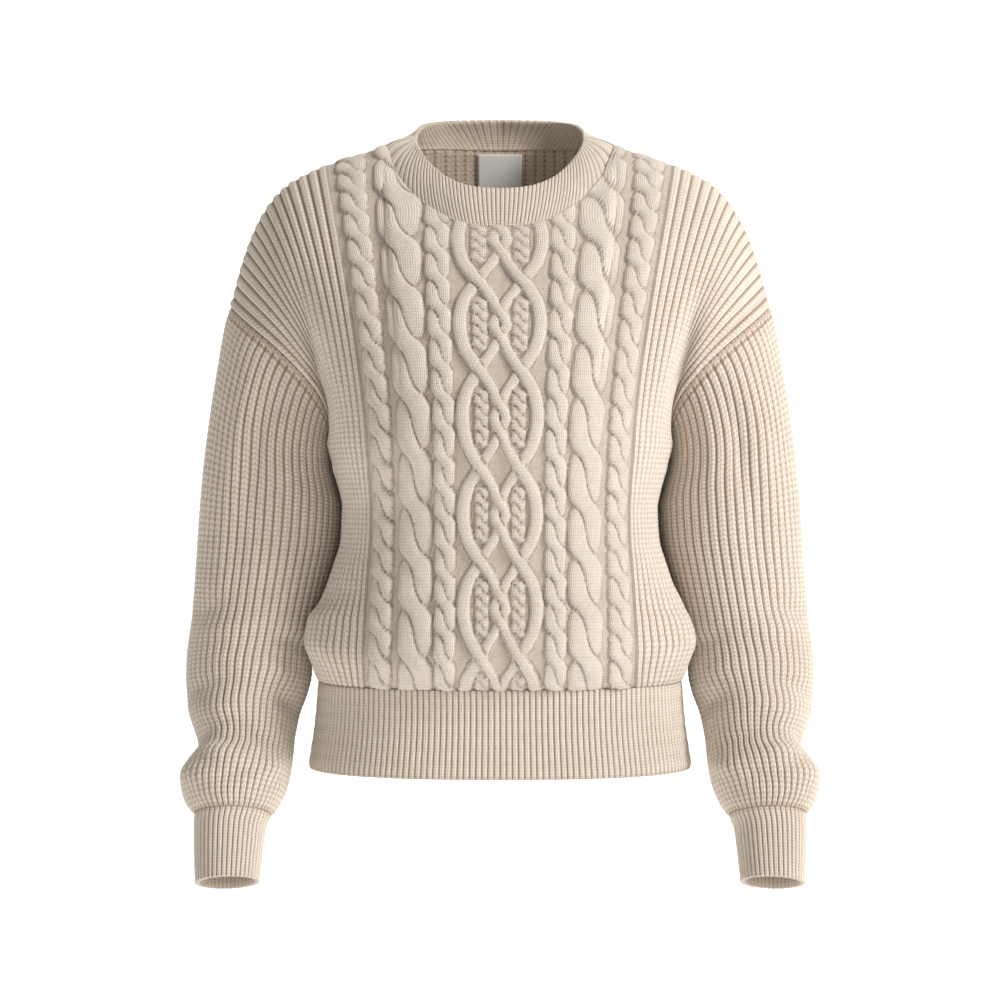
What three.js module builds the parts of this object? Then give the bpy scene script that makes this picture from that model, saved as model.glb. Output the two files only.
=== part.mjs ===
import * as THREE from 'three';

// Cable knit sweater, filled out as if worn, in millimetres.
// +Z up, the front faces -Y, and the origin is the middle of the neck opening
// at the height of the highest shoulder points.

// Wall and seams
const WALL = 2.2;
const SEAM_HALF_GAP = 0.2;
const NECK_SEAM_HALF_GAP = 0.9;
const RIB_RELIEF = 1.7;
const FINE_RIB_RELIEF = 1.3;
const CABLE_RELIEF = 4.2;

// Counts read off the garment
const SIDE_RIBS = 16;
const BACK_RIBS_PER_HALF = 31;
const SLEEVE_RIBS = 48;
const HEM_RIBS = 178;
const NECK_RIBS = 106;
const CUFF_RIBS = 42;

// The cable panel reaches this far to each side of the centre line of the front
const CABLE_HALF_WIDTH = 118;
const CABLE_SHARE = 0.53;

const ARMPIT_Z = -258;
const HEM_TOP_Z = -466;
const HEM_BOTTOM_Z = -541;
const HEM_STEP = 0.002;
const SECTION_POWER = 2.4;
const CORNER_POWER = 8;
const CORNER_GAIN = 4.8;
const BACK_BULGE = 0.35;
const BACK_CREASE = 0.4;

const WHITE_WOOL = 0xe6dccb;

// Level sections of the body: half width at the side seam, depth to the front and to the
// back, and how far the corners bulge out past the seam
const BODY = table(['z', 'half', 'front', 'back', 'bulge'], [
  [-545, 166.6, 112, 119, 0],
  [-541, 166.3, 112, 118, 0],
  [-503, 160.6, 110, 112, 0],
  [-466, 157.5, 112, 108, 0],
  [-459, 157.2, 118, 112, 4],
  [-444, 156.2, 129, 118, 11],
  [-428, 155.0, 132, 120, 17],
  [-410, 152.0, 130, 114, 17],
  [-398, 149.0, 128, 110, 13],
  [-383, 145.5, 126, 105, 7],
  [-363, 141.5, 126, 101, 3],
  [-343, 137.5, 127, 99, 0],
  [-318, 135.5, 129, 98, 0],
  [-299, 139.0, 134, 99, 0],
  [-273, 146.5, 142, 103, 0],
  [-258, 150.5, 145, 105, 0],
  [-240, 152.0, 145, 106, 0],
]);

// Where the wales of the front end: round the neck seam, then along the shoulder.
// rise and fall are the lengths and turns of each wale at its two ends.
const FRONT_END = table(['q', 'x', 'y', 'z'], [
  [0.000, 0.0, -92, -77.5],
  [0.090, 24.0, -91, -76.0],
  [0.175, 44.7, -85, -69.3],
  [0.257, 67.0, -70, -53.5],
  [0.309, 84.7, -48, -33.8],
  [0.336, 94.5, -25, -15.5],
  [0.3548, 101.7, 0, 3.0],
  [0.406, 115.0, 0, -2.0],
  [0.465, 131.6, 0, -7.5],
  [0.530, 151.0, 0, -14.0],
  [0.588, 169.0, 0, -22.0],
  [0.644, 186.0, 0, -31.5],
  [0.696, 198.0, 0, -43.0],
  [0.743, 207.5, 0, -56.5],
  [0.799, 216.0, 0, -73.0],
  [0.866, 224.0, 0, -94.0],
  [0.919, 229.5, 0, -112.0],
  [0.970, 234.2, 0, -130.0],
  [1.000, 236.3, 0, -138.7],
]);
const BACK_END = table(['q', 'x', 'y', 'z'], [
  [0.000, 0.0, 68, 9.0],
  [0.090, 26.0, 66, 9.3],
  [0.175, 49.5, 59, 9.2],
  [0.257, 74.0, 44, 8.2],
  [0.309, 89.0, 25, 6.6],
  [0.336, 96.0, 13, 4.8],
  [0.3548, 101.7, 0, 3.0],
  [0.406, 115.0, 0, -2.0],
  [0.465, 131.6, 0, -7.5],
  [0.530, 151.0, 0, -14.0],
  [0.588, 169.0, 0, -22.0],
  [0.644, 186.0, 0, -31.5],
  [0.696, 198.0, 0, -43.0],
  [0.743, 207.5, 0, -56.5],
  [0.799, 216.0, 0, -73.0],
  [0.866, 224.0, 0, -94.0],
  [0.919, 229.5, 0, -112.0],
  [0.970, 234.2, 0, -130.0],
  [1.000, 236.3, 0, -138.7],
]);

// Direction in which a wale leaves the armpit level and reaches its end,
// for the front half; the back half mirrors y and uses its own neck rows.
const RISE = table(['q', 'x', 'y', 'z'], [
  [0.00, 0, -2, 60],
  [0.30, 2, -2, 62],
  [0.53, 3, -4, 66],
  [0.66, 0, -14, 64],
  [0.78, -8, -34, 58],
  [0.90, -21, -54, 52],
  [0.96, -20, -60, 51],
  [1.00, -14, -62, 50],
]);
const FRONT_FALL = table(['q', 'x', 'y', 'z'], [
  [0.000, 0, -24, -55],
  [0.175, 1, -27, -50],
  [0.257, 3, -36, -46],
  [0.309, 4, -52, -43],
  [0.3548, 3, -80, -40],
  [0.430, -1, -86, -32],
  [0.530, -6, -88, -24],
  [0.750, -17, -87, -21],
  [1.000, -28, -84, -30],
]);
const BACK_FALL = table(['q', 'x', 'y', 'z'], [
  [0.000, 0, -20, -70],
  [0.175, 1, -26, -66],
  [0.257, 3, -40, -57],
  [0.309, 4, -54, -50],
  [0.3548, 3, -76, -42],
  [0.430, -1, -79, -33],
  [0.530, -6, -82, -24],
  [0.750, -17, -84, -21],
  [1.000, -28, -82, -30],
]);

// Stations along a sleeve: the outermost and innermost points of each level,
// the middle and half depth, and how far the level tips forward, in degrees
const SLEEVE = table(['along', 'outX', 'outZ', 'inX', 'inZ', 'midY', 'depth', 'lean'], [
  [0, 236.3, -138.7, 150.5, -258.0, 0, 62, 0],
  [14, 241.2, -156.3, 152.5, -266.0, 4, 62, 0],
  [37, 247.5, -192.5, 151.0, -279.0, 8, 61, 0],
  [64, 253.9, -232.2, 146.6, -293.0, 11, 60, 0],
  [99, 260.3, -281.6, 141.9, -314.0, 12, 60, 0],
  [140, 264.6, -334.4, 143.6, -343.0, 12, 59, 0],
  [164, 266.3, -362.5, 147.6, -363.0, 11, 58, 0],
  [190, 268.1, -389.0, 153.4, -389.0, 10, 57, 0],
  [209, 269.5, -408.0, 157.2, -408.0, 8, 56, 2],
  [231, 271.9, -430.0, 160.6, -430.0, 5, 56, 5],
  [252, 273.4, -451.0, 165.0, -451.0, 0, 55, 9],
  [265, 273.1, -464.0, 167.5, -464.0, -4, 54, 11],
  [278, 272.1, -476.6, 171.0, -476.6, -9, 53, 13],
  [293, 270.0, -491.9, 176.0, -491.9, -15, 51, 15],
  [312, 262.5, -511.3, 180.2, -511.3, -25, 47, 17],
  [325, 261.9, -523.8, 181.0, -523.8, -32, 46, 18],
  [340, 268.7, -538.8, 182.2, -538.8, -41, 47, 19],
  [354, 271.4, -552.8, 184.6, -552.8, -48, 46, 20],
  [367, 268.1, -566.0, 190.3, -566.0, -53, 41, 20],
  [377, 260.6, -576.6, 196.8, -576.6, -57, 34, 20],
  [387, 259.7, -586.5, 201.3, -586.5, -60, 31, 20],
  [403, 258.9, -601.8, 203.1, -601.8, -66, 29, 20],
  [434, 256.4, -633.0, 205.4, -630.4, -78, 28, 20],
]);
const CUFF_STATIONS = [377, 396, 434];
const CUFF_TOP = 377;
const ARMHOLE_BLEND = 70;
const PIT_GAP = 3.2;
const PIT_GAP_REACH = 0.19;

// The loop of the neck seam and the free top edge of the neckband,
// from the middle of the front round one side to the middle of the back
const NECK_TOP = table(['turn', 'x', 'y', 'z'], [
  [0.00, 0, -76, -44.5],
  [0.12, 25, -73, -42.0],
  [0.24, 46, -62, -32.5],
  [0.34, 60, -46, -18.5],
  [0.44, 69.5, -26, -3.0],
  [0.55, 73, 0, 10.5],
  [0.66, 72, 17, 21.0],
  [0.76, 66, 36, 28.5],
  [0.87, 46, 52, 33.5],
  [1.00, 0, 60, 36.0],
]);

// Soft trough beside the rounded edge of the chest cloth, in front of each armpit
const CREASE = table(['z', 'x', 'deep', 'wide'], [
  [-330, 130, 0, 12],
  [-300, 139, 3, 12],
  [-273, 147, 9, 11],
  [-240, 151, 14, 10],
  [-205, 153, 17, 10],
  [-182, 155, 15, 10],
  [-159, 160, 11, 10],
  [-131, 168, 5, 12],
  [-105, 174, 0, 13],
]);

// Places across half of the cable panel where the grid has a column
const CABLE_COLUMNS = [
  0, 4.7, 10, 16, 22, 31, 35.8, 41, 46, 51, 57,
  61.5, 66.5, 71.6, 75.6, 79.04, 83, 86.5, 92, 97, 102.5, 108, 113.5, 118,
];
// Twisted ropes on each half of the front: middle, width and crossing spacing
const ROPES = [
  { middle: 45.8, width: 18.8, spacing: 24.6, start: -14.3 },
  { middle: 71.6, width: 30.5, spacing: 44.3, start: -9 },
  { middle: 103, width: 21.8, spacing: 24.1, start: 6.5 },
];
const BAND_BULGE = 3;
const BAND_BULGE_UP = 40;
const PLAIT = { period: 78.7, start: -22.5, outer: 30.3, inner: 4.7, strand: 11.2 };

// Rows and columns of the nets; the inside of every wall is plain and coarser
const PANEL_ROWS = [0, 0.18, 0.42, 0.7, 1, 1.2, 1.4, 1.6, 1.8, 2];
const CABLE_ROWS_EACH = [3, 4, 4, 4, 4, 4, 4, 4, 4];
const SLEEVE_STATIONS = [0, 22, 75, 145, 195, 234, 285, 318, 348, 377];

// Share of a surface's run used when its way out is measured
const STEP = 0.004;
const SEAM_NEAR = 0.99;

const INNER_HALF = [
  0, 0.08, 0.16, 0.22, 0.26, 0.29, 0.315, 0.336, 0.3548, 0.42, 0.5, 0.58, 0.66, 0.75, 0.84, 0.93,
];
const INNER_COLUMNS = [...INNER_HALF.slice(1).reverse().map((q) => -q), ...INNER_HALF];
const EDGE_ROWS = [0, 0.09, 0.18, 0.3, 0.42, 0.56, 0.7, 0.85, ...spread(1, 2, 20)];

function table(names, rows) {
  return { names, rows };
}

// Smooth value of one column of a table at a place on its first column
function read(source, name, at) {
  const column = source.names.indexOf(name);
  const rows = source.rows;
  const last = rows.length - 1;
  let i = 0;
  while (i < last - 1 && at > rows[i + 1][0]) {
    i += 1;
  }
  const slope = (k) => {
    const before = rows[Math.max(k - 1, 0)];
    const after = rows[Math.min(k + 1, last)];
    const isPeak = (rows[k][column] - before[column]) * (after[column] - rows[k][column]) <= 0;
    const isEnd = k === 0 || k === last;
    return isPeak && !isEnd ? 0 : (after[column] - before[column]) / (after[0] - before[0]);
  };
  const span = rows[i + 1][0] - rows[i][0];
  const f = (at - rows[i][0]) / span;
  const a = rows[i][column];
  const b = rows[i + 1][column];
  if (f < 0) {
    return a + slope(i) * f * span;
  }
  if (f > 1) {
    return b + slope(i + 1) * (f - 1) * span;
  }
  const f2 = f * f;
  const f3 = f2 * f;
  return a * (2 * f3 - 3 * f2 + 1) + slope(i) * span * (f3 - 2 * f2 + f)
    + b * (3 * f2 - 2 * f3) + slope(i + 1) * span * (f3 - f2);
}

function readPoint(source, at) {
  return new THREE.Vector3(read(source, 'x', at), read(source, 'y', at), read(source, 'z', at));
}

// Quarter of a level section as a list of points with the run of its length
const SECTION_STEPS = 60;
function quarterSection(half, depth, bulge) {
  const points = [];
  let run = 0;
  for (let i = 0; i <= SECTION_STEPS; i += 1) {
    const turn = (i / SECTION_STEPS) * Math.PI / 2;
    const corner = CORNER_GAIN * Math.sin(turn) ** CORNER_POWER * Math.cos(turn);
    const x = half * Math.sin(turn) ** (2 / SECTION_POWER) + bulge * corner;
    const y = depth * Math.cos(turn) ** (2 / SECTION_POWER);
    if (i > 0) {
      run += Math.hypot(x - points[i - 1].x, y - points[i - 1].y);
    }
    points.push({ x, y, run });
  }
  return points;
}

function alongSection(points, length) {
  const last = points.length - 1;
  let i = 1;
  while (i < last && points[i].run < length) {
    i += 1;
  }
  const a = points[i - 1];
  const b = points[i];
  const f = (length - a.run) / (b.run - a.run);
  return { x: a.x + (b.x - a.x) * f, y: a.y + (b.y - a.y) * f };
}

// Point of the body at a level z; q runs from 0 at the centre line to 1 at the side
const sectionStore = new Map();
function bodySection(z, isFront) {
  const key = `${z.toFixed(3)} ${isFront}`;
  if (!sectionStore.has(key)) {
    const depth = read(BODY, isFront ? 'front' : 'back', z);
    const bulge = read(BODY, 'bulge', z) * (isFront ? 1 : BACK_BULGE);
    sectionStore.set(key, quarterSection(read(BODY, 'half', z), depth, bulge));
  }
  return sectionStore.get(key);
}

function levelPoint(z, q, isFront, isEven = false) {
  const points = bodySection(z, isFront);
  const whole = points[points.length - 1].run;
  const amount = Math.abs(q);
  let length = amount * whole;
  if (isFront && !isEven && amount <= CABLE_SHARE) {
    length = (amount / CABLE_SHARE) * CABLE_HALF_WIDTH;
  } else if (isFront && !isEven) {
    const beyond = (amount - CABLE_SHARE) / (1 - CABLE_SHARE);
    length = CABLE_HALF_WIDTH + beyond * (whole - CABLE_HALF_WIDTH);
  }
  const at = alongSection(points, length);
  const facing = isFront ? -1 : 1;
  return new THREE.Vector3(Math.sign(q) * at.x, facing * at.y, z);
}

// Trough depth pushed into the cloth in front of and behind the armpits
function creaseDepth(point, isFront) {
  const away = Math.abs(point.x) - read(CREASE, 'x', point.z);
  const wide = read(CREASE, 'wide', point.z);
  const deep = Math.max(read(CREASE, 'deep', point.z), 0);
  const inRange = point.z > -330 && point.z < -105;
  if (!inRange) {
    return 0;
  }
  return deep * Math.exp(-((away / wide) ** 2)) * (isFront ? 1 : BACK_CREASE);
}

// Point of the unraised body cloth. q is signed, h runs 0 to 1 from the hem seam to
// the armpit level and 1 to 2 from there to the neck seam, shoulder and armhole.
function bodyPoint(q, h, isFront) {
  const facing = isFront ? -1 : 1;
  let point;
  if (h <= 1) {
    point = levelPoint(HEM_TOP_Z + (ARMPIT_Z - HEM_TOP_Z) * h, q, isFront);
  } else {
    const f = h - 1;
    const amount = Math.abs(q);
    const side = Math.sign(q);
    const start = levelPoint(ARMPIT_Z, q, isFront);
    const end = readPoint(isFront ? FRONT_END : BACK_END, amount);
    end.x *= side;
    const rise = readPoint(RISE, amount);
    const fall = readPoint(isFront ? FRONT_FALL : BACK_FALL, amount);
    const one = new THREE.Vector3(side * rise.x, -facing * rise.y, rise.z).add(start);
    const two = new THREE.Vector3(side * fall.x, -facing * fall.y, fall.z).add(end);
    point = new THREE.Vector3();
    point.addScaledVector(start, (1 - f) ** 3);
    point.addScaledVector(one, 3 * f * (1 - f) ** 2);
    point.addScaledVector(two, 3 * f * f * (1 - f));
    point.addScaledVector(end, f ** 3);
  }
  const edge = Math.min(1, Math.max(0, (1 - Math.abs(q)) * 12));
  point.y -= facing * creaseDepth(point, isFront) * edge;
  return point;
}

function bodyNormal(q, h, isFront) {
  const side = q < 0 ? -1 : 1;
  const inner = side * Math.min(Math.abs(q), 1 - STEP);
  const low = Math.min(h, 2 - STEP);
  const across = bodyPoint(inner + STEP, low, isFront).sub(bodyPoint(inner - STEP, low, isFront));
  const up = bodyPoint(inner, Math.min(low + STEP, 2), isFront)
    .sub(bodyPoint(inner, Math.max(low - STEP, 0), isFront));
  const normal = across.cross(up);
  if (!isFront) {
    normal.negate();
  }
  return normal.normalize();
}

// The armhole seam as one loop: turn 0 is the armpit, 0 to 0.5 is the front half
// up to the shoulder tip, 0.5 to 1 the back half down again. x is the distance out.
const LOOP_STEPS = 120;
const armholeLoop = [];
for (let i = 0; i <= LOOP_STEPS; i += 1) {
  const turn = i / LOOP_STEPS;
  const isFront = turn <= 0.5;
  const f = isFront ? turn * 2 : 2 - turn * 2;
  const point = bodyPoint(1, 1 + f, isFront);
  const run = i === 0 ? 0 : armholeLoop[i - 1].run + point.distanceTo(armholeLoop[i - 1].point);
  armholeLoop.push({ point, run });
}

// The two loop points on either side of a turn, and the share between them
function armholeSpan(turn) {
  const wrapped = turn - Math.floor(turn);
  const half = armholeLoop[LOOP_STEPS / 2].run;
  const whole = armholeLoop[LOOP_STEPS].run;
  const length = wrapped <= 0.5 ? wrapped * 2 * half : half + (wrapped * 2 - 1) * (whole - half);
  let i = 1;
  while (i < LOOP_STEPS && armholeLoop[i].run < length) {
    i += 1;
  }
  const a = armholeLoop[i - 1];
  const b = armholeLoop[i];
  return { a, b, share: (length - a.run) / (b.run - a.run), index: i - 1 };
}

function armholePoint(turn) {
  const { a, b, share } = armholeSpan(turn);
  return a.point.clone().lerp(b.point, share);
}

// Place of a point of the body's edge on the armhole loop
function armholeTurn(f, isFront) {
  const at = isFront ? f / 2 : 1 - f / 2;
  const exact = at * LOOP_STEPS;
  const i = Math.min(Math.floor(exact), LOOP_STEPS - 1);
  const run = armholeLoop[i].run + (armholeLoop[i + 1].run - armholeLoop[i].run) * (exact - i);
  const half = armholeLoop[LOOP_STEPS / 2].run;
  const whole = armholeLoop[LOOP_STEPS].run;
  return run <= half ? run / half / 2 : 0.5 + (run - half) / (whole - half) / 2;
}

// Way out of a wall at a seam. Walls that run on into each other share one direction;
// walls folded towards each other keep their own.
function seamOut(own, other) {
  const share = THREE.MathUtils.smoothstep(own.dot(other), 0, 0.7);
  return own.clone().addScaledVector(other, share).normalize();
}

// Directions at a place on the armhole seam: out of each wall and towards the sleeve
function armholeAxes(turn) {
  const along = armholePoint(turn + 0.01).sub(armholePoint(turn - 0.01)).normalize();
  const { share, index } = armholeSpan(turn);
  const at = (index + share) / LOOP_STEPS;
  const isFront = at <= 0.5;
  const body = bodyNormal(SEAM_NEAR, 1 + (isFront ? at * 2 : 2 - at * 2), isFront);
  const sleeve = sleeveNormal(turn, 0);
  const bodyOut = seamOut(body, sleeve);
  const sleeveOut = seamOut(sleeve, body);
  const awayFromSleeve = new THREE.Vector3().crossVectors(bodyOut, along).normalize();
  const toSleeve = new THREE.Vector3().crossVectors(along, sleeveOut).normalize();
  return { bodyOut, sleeveOut, awayFromSleeve, toSleeve };
}

function sleeveRing(turn, along) {
  const outer = new THREE.Vector3(read(SLEEVE, 'outX', along), 0, read(SLEEVE, 'outZ', along));
  const inner = new THREE.Vector3(read(SLEEVE, 'inX', along), 0, read(SLEEVE, 'inZ', along));
  const middle = outer.clone().lerp(inner, 0.5);
  middle.y = read(SLEEVE, 'midY', along);
  const half = outer.distanceTo(inner) / 2;
  const inward = inner.sub(outer).normalize();
  const lean = THREE.MathUtils.degToRad(read(SLEEVE, 'lean', along));
  const forward = new THREE.Vector3(0, -Math.cos(lean), Math.sin(lean));
  const angle = turn * 2 * Math.PI;
  middle.addScaledVector(inward, half * Math.cos(angle));
  middle.addScaledVector(forward, read(SLEEVE, 'depth', along) * Math.sin(angle));
  return middle;
}

function sleevePoint(turn, along) {
  const point = sleeveRing(turn, along);
  if (along < ARMHOLE_BLEND) {
    const share = (1 - along / ARMHOLE_BLEND) ** 2;
    point.add(armholePoint(turn).sub(sleeveRing(turn, 0)).multiplyScalar(share));
  }
  return point;
}

function sleeveNormal(turn, along) {
  const round = sleevePoint(turn + 0.004, along).sub(sleevePoint(turn - 0.004, along));
  const down = sleevePoint(turn, along + 1.5).sub(sleevePoint(turn, Math.max(along - 1.5, 0)));
  return down.cross(round).normalize();
}

// The neck seam as a loop: turn 0 is the middle of the front, 1 the middle of the back
const NECK_SHARE = 0.3548;
const NECK_FRONT_TURN = 0.55;
function neckPlace(turn) {
  const isFront = turn < NECK_FRONT_TURN;
  const part = isFront ? turn / NECK_FRONT_TURN : (1 - turn) / (1 - NECK_FRONT_TURN);
  return { q: part * NECK_SHARE, isFront };
}

function neckTurn(q, isFront) {
  const part = Math.abs(q) / NECK_SHARE;
  return isFront ? part * NECK_FRONT_TURN : 1 - part * (1 - NECK_FRONT_TURN);
}

function neckbandPoint(turn, rise) {
  const { q, isFront } = neckPlace(Math.abs(turn));
  const low = readPoint(isFront ? FRONT_END : BACK_END, q);
  const high = readPoint(NECK_TOP, Math.abs(turn));
  const outward = new THREE.Vector3(low.x, low.y, BAND_BULGE_UP).normalize();
  low.lerp(high, rise).addScaledVector(outward, Math.sin(rise * Math.PI) * BAND_BULGE);
  low.x *= turn < 0 ? -1 : 1;
  return low;
}

function neckbandNormal(turn, rise) {
  const near = Math.min(turn, 1 - STEP);
  const round = neckbandPoint(near + STEP, rise).sub(neckbandPoint(near - STEP, rise));
  const up = neckbandPoint(near, rise + STEP).sub(neckbandPoint(near, rise - STEP));
  return round.cross(up).normalize();
}

function ribWave(x) {
  return 0.5 - 0.5 * Math.cos(x * 2 * Math.PI);
}

// Height of a two strand rope whose upper strand always runs down to the right
function ropeHeight(s, t, rope) {
  const across = (s - rope.middle) / (rope.width / 2);
  if (Math.abs(across) > 1) {
    return 0;
  }
  const phase = Math.PI * (t - rope.start) / rope.spacing;
  const swing = 0.5 * Math.sin(phase);
  const strand = (offset, lift) => {
    const inside = 1 - ((across - offset) / 0.56) ** 2;
    return inside > 0 ? Math.sqrt(inside) * (0.78 + 0.22 * lift) : 0;
  };
  return Math.max(strand(swing, -Math.cos(phase)), strand(-swing, Math.cos(phase)));
}

// Height of the four strand plait down the middle of the front
function plaitHeight(s, t) {
  const side = s < 0 ? -1 : 1;
  const x = Math.abs(s);
  const middle = (PLAIT.outer + PLAIT.inner) / 2;
  const reach = (PLAIT.outer - PLAIT.inner) / 2;
  const open = Math.tanh(2.2 * Math.abs(Math.sin(Math.PI * (t - PLAIT.start) / PLAIT.period)));
  const strand = (at, lift) => {
    const inside = 1 - ((x - at) / (PLAIT.strand / 2)) ** 2;
    return inside > 0 ? Math.sqrt(inside) * lift : 0;
  };
  const mini = open > 0.9 ? strand(middle - 1.5, 0.6) : 0;
  const outer = strand(middle + reach * open, 0.95);
  const inner = strand(middle - reach * open, side > 0 ? 0.85 : 0.95);
  return Math.max(outer, inner, mini);
}

function frontRelief(q, t) {
  const s = (q / CABLE_SHARE) * CABLE_HALF_WIDTH;
  const x = Math.abs(s);
  if (x >= CABLE_HALF_WIDTH - 0.01) {
    return RIB_RELIEF * ribWave((Math.abs(q) - CABLE_SHARE) / (1 - CABLE_SHARE) * SIDE_RIBS);
  }
  if (x < 36) {
    return CABLE_RELIEF * plaitHeight(s, t);
  }
  let height = 0;
  ROPES.forEach((rope) => {
    height = Math.max(height, ropeHeight(s, t, { ...rope, middle: Math.sign(s) * rope.middle }));
  });
  return CABLE_RELIEF * height;
}

// Run of a wale of the front from the armpit level up to a place on it
const WALE_STEPS = 12;
function waleRun(q, h) {
  if (h <= 1) {
    return (HEM_TOP_Z - ARMPIT_Z) * (1 - h);
  }
  let run = 0;
  let before = bodyPoint(q, 1, true);
  for (let i = 1; i <= WALE_STEPS; i += 1) {
    const next = bodyPoint(q, 1 + (h - 1) * i / WALE_STEPS, true);
    run += next.distanceTo(before);
    before = next;
  }
  return run;
}

// Collects the triangles of one closed wall
class Wall {
  constructor() {
    this.points = [];
    this.faces = [];
  }

  add(point) {
    this.points.push(point);
    return this.points.length - 1;
  }

  // How far along its list each point lies, from 0 to 1
  shares(list) {
    const runs = [0];
    for (let i = 1; i < list.length; i += 1) {
      runs.push(runs[i - 1] + this.points[list[i]].distanceTo(this.points[list[i - 1]]));
    }
    return runs.map((run) => run / runs[runs.length - 1]);
  }

  // Joins two lists of points running the same way, each with its own spacing
  zip(a, b) {
    const shareA = this.shares(a);
    const shareB = this.shares(b);
    let i = 0;
    let j = 0;
    while (i < a.length - 1 || j < b.length - 1) {
      const takeA = i < a.length - 1 && shareA[i + 1] <= (shareB[j + 1] ?? 2);
      if (takeA) {
        this.faces.push([a[i + 1], a[i], b[j]]);
        i += 1;
      } else {
        this.faces.push([b[j], b[j + 1], a[i]]);
        j += 1;
      }
    }
  }

  // Faces of a net given as rows of points from the lower edge up
  net(rows, inward) {
    for (let r = 0; r < rows.length - 1; r += 1) {
      for (let c = 0; c < rows[r].length - 1; c += 1) {
        const a = rows[r][c];
        const b = rows[r][c + 1];
        const d = rows[r + 1][c + 1];
        const e = rows[r + 1][c];
        if (inward) {
          this.faces.push([a, d, b], [a, e, d]);
        } else {
          this.faces.push([a, b, d], [a, d, e]);
        }
      }
    }
  }

  mesh(name) {
    const geometry = new THREE.BufferGeometry();
    const position = this.points.flatMap((p) => [p.x, p.y, p.z]);
    geometry.setAttribute('position', new THREE.Float32BufferAttribute(position, 3));
    geometry.setIndex(this.faces.flat());
    geometry.computeVertexNormals();
    const material = new THREE.MeshStandardMaterial({ color: WHITE_WOOL, roughness: 0.95 });
    const mesh = new THREE.Mesh(geometry, material);
    mesh.name = name;
    return mesh;
  }
}

// A closed tube: place(turn, row) gives a point of the plain cloth and the way out;
// turn runs once round, leftwards to rightwards in front, and row runs from the lower edge up
function tube(name, place, rows, outerColumns, innerColumns, relief, seamRows = []) {
  const wall = new Wall();
  const build = (columns, height) => {
    const net = [];
    for (let r = 0; r <= rows; r += 1) {
      const row = [];
      for (let c = 0; c < columns; c += 1) {
        const { point, out } = place(c / columns, r);
        row.push(wall.add(point.addScaledVector(out, height(c, r))));
      }
      row.push(row[0]);
      net.push(row);
    }
    return net;
  };
  const outer = build(outerColumns, (c, r) => (c % 2 === 0 || seamRows.includes(r) ? 0 : relief));
  const inner = build(innerColumns, () => -WALL);
  const ring = (r) => {
    const list = spread(0, 1, outerColumns / 2).slice(0, -1).map((turn) => {
      const { point, out } = place(turn, r);
      return wall.add(point.addScaledVector(out, -WALL));
    });
    return [...list, list[0]];
  };
  wall.net(outer, false);
  wall.net(inner.slice(seamRows.includes(0) ? 1 : 0, seamRows.includes(rows) ? rows : rows + 1), true);
  const innerLow = seamRows.includes(0) ? ring(0) : inner[0];
  const innerHigh = seamRows.includes(rows) ? ring(rows) : inner[rows];
  if (seamRows.includes(0)) {
    wall.zip(innerLow, inner[1]);
  }
  if (seamRows.includes(rows)) {
    wall.zip(inner[rows - 1], innerHigh);
  }
  wall.zip(outer[0], innerLow);
  wall.zip([...outer[rows]].reverse(), [...innerHigh].reverse());
  return wall.mesh(name);
}

function spread(from, to, count) {
  return Array.from({ length: count + 1 }, (_, i) => from + (to - from) * i / count);
}

// A point of a body panel moved out by height, with its edges kept clear of the seams
function panelPoint(q, h, isFront, height) {
  const f = Math.max(h - 1, 0);
  const point = bodyPoint(q, h, isFront);
  const atSide = Math.abs(q) > 0.9999;
  const atTop = h > 1.9999;
  const side = Math.sign(q);
  const facing = isFront ? -1 : 1;
  let out = bodyNormal(q, h, isFront);
  const keep = SEAM_HALF_GAP;
  if (atSide && h > 0.9999) {
    const axes = armholeAxes(armholeTurn(f, isFront));
    out = axes.bodyOut;
    out.x *= side;
    axes.awayFromSleeve.x *= side;
    point.addScaledVector(axes.awayFromSleeve, keep);
    if (atTop || h < 1.0001) {
      point.y += facing * keep;
    }
  } else if (atSide) {
    out.set(side, 0, 0);
    point.y += facing * keep;
  } else if (atTop && Math.abs(q) >= NECK_SHARE) {
    const ends = isFront ? FRONT_END : BACK_END;
    const edge = readPoint(ends, Math.abs(q) + STEP).sub(readPoint(ends, Math.abs(q) - STEP));
    out.set(-edge.z, 0, edge.x).normalize();
    out.x *= side;
    point.y += facing * keep;
  } else if (atTop) {
    const band = neckbandNormal(neckTurn(q, isFront), 0);
    band.x *= q < 0 ? -1 : 1;
    out = seamOut(out, band);
    const below = bodyPoint(q, 2 - STEP, isFront);
    point.addScaledVector(below.sub(point).normalize(), NECK_SEAM_HALF_GAP);
  }
  if (h < 0.0001) {
    out.z = 0;
    out.normalize();
    point.z += keep;
  }
  return point.addScaledVector(out, height);
}

// Ribs flatten out where the side of the body meets the inside of the sleeve
const SEAM_RELIEF = 0.3;
const PIT = { h: 1.08, reach: 0.24, from: 0.86, to: 0.95 };
function pitFade(q, h) {
  const side = Math.min(1, Math.max(0, (Math.abs(q) - PIT.from) / (PIT.to - PIT.from)));
  return 1 - side * Math.exp(-(((h - PIT.h) / PIT.reach) ** 4));
}

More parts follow.
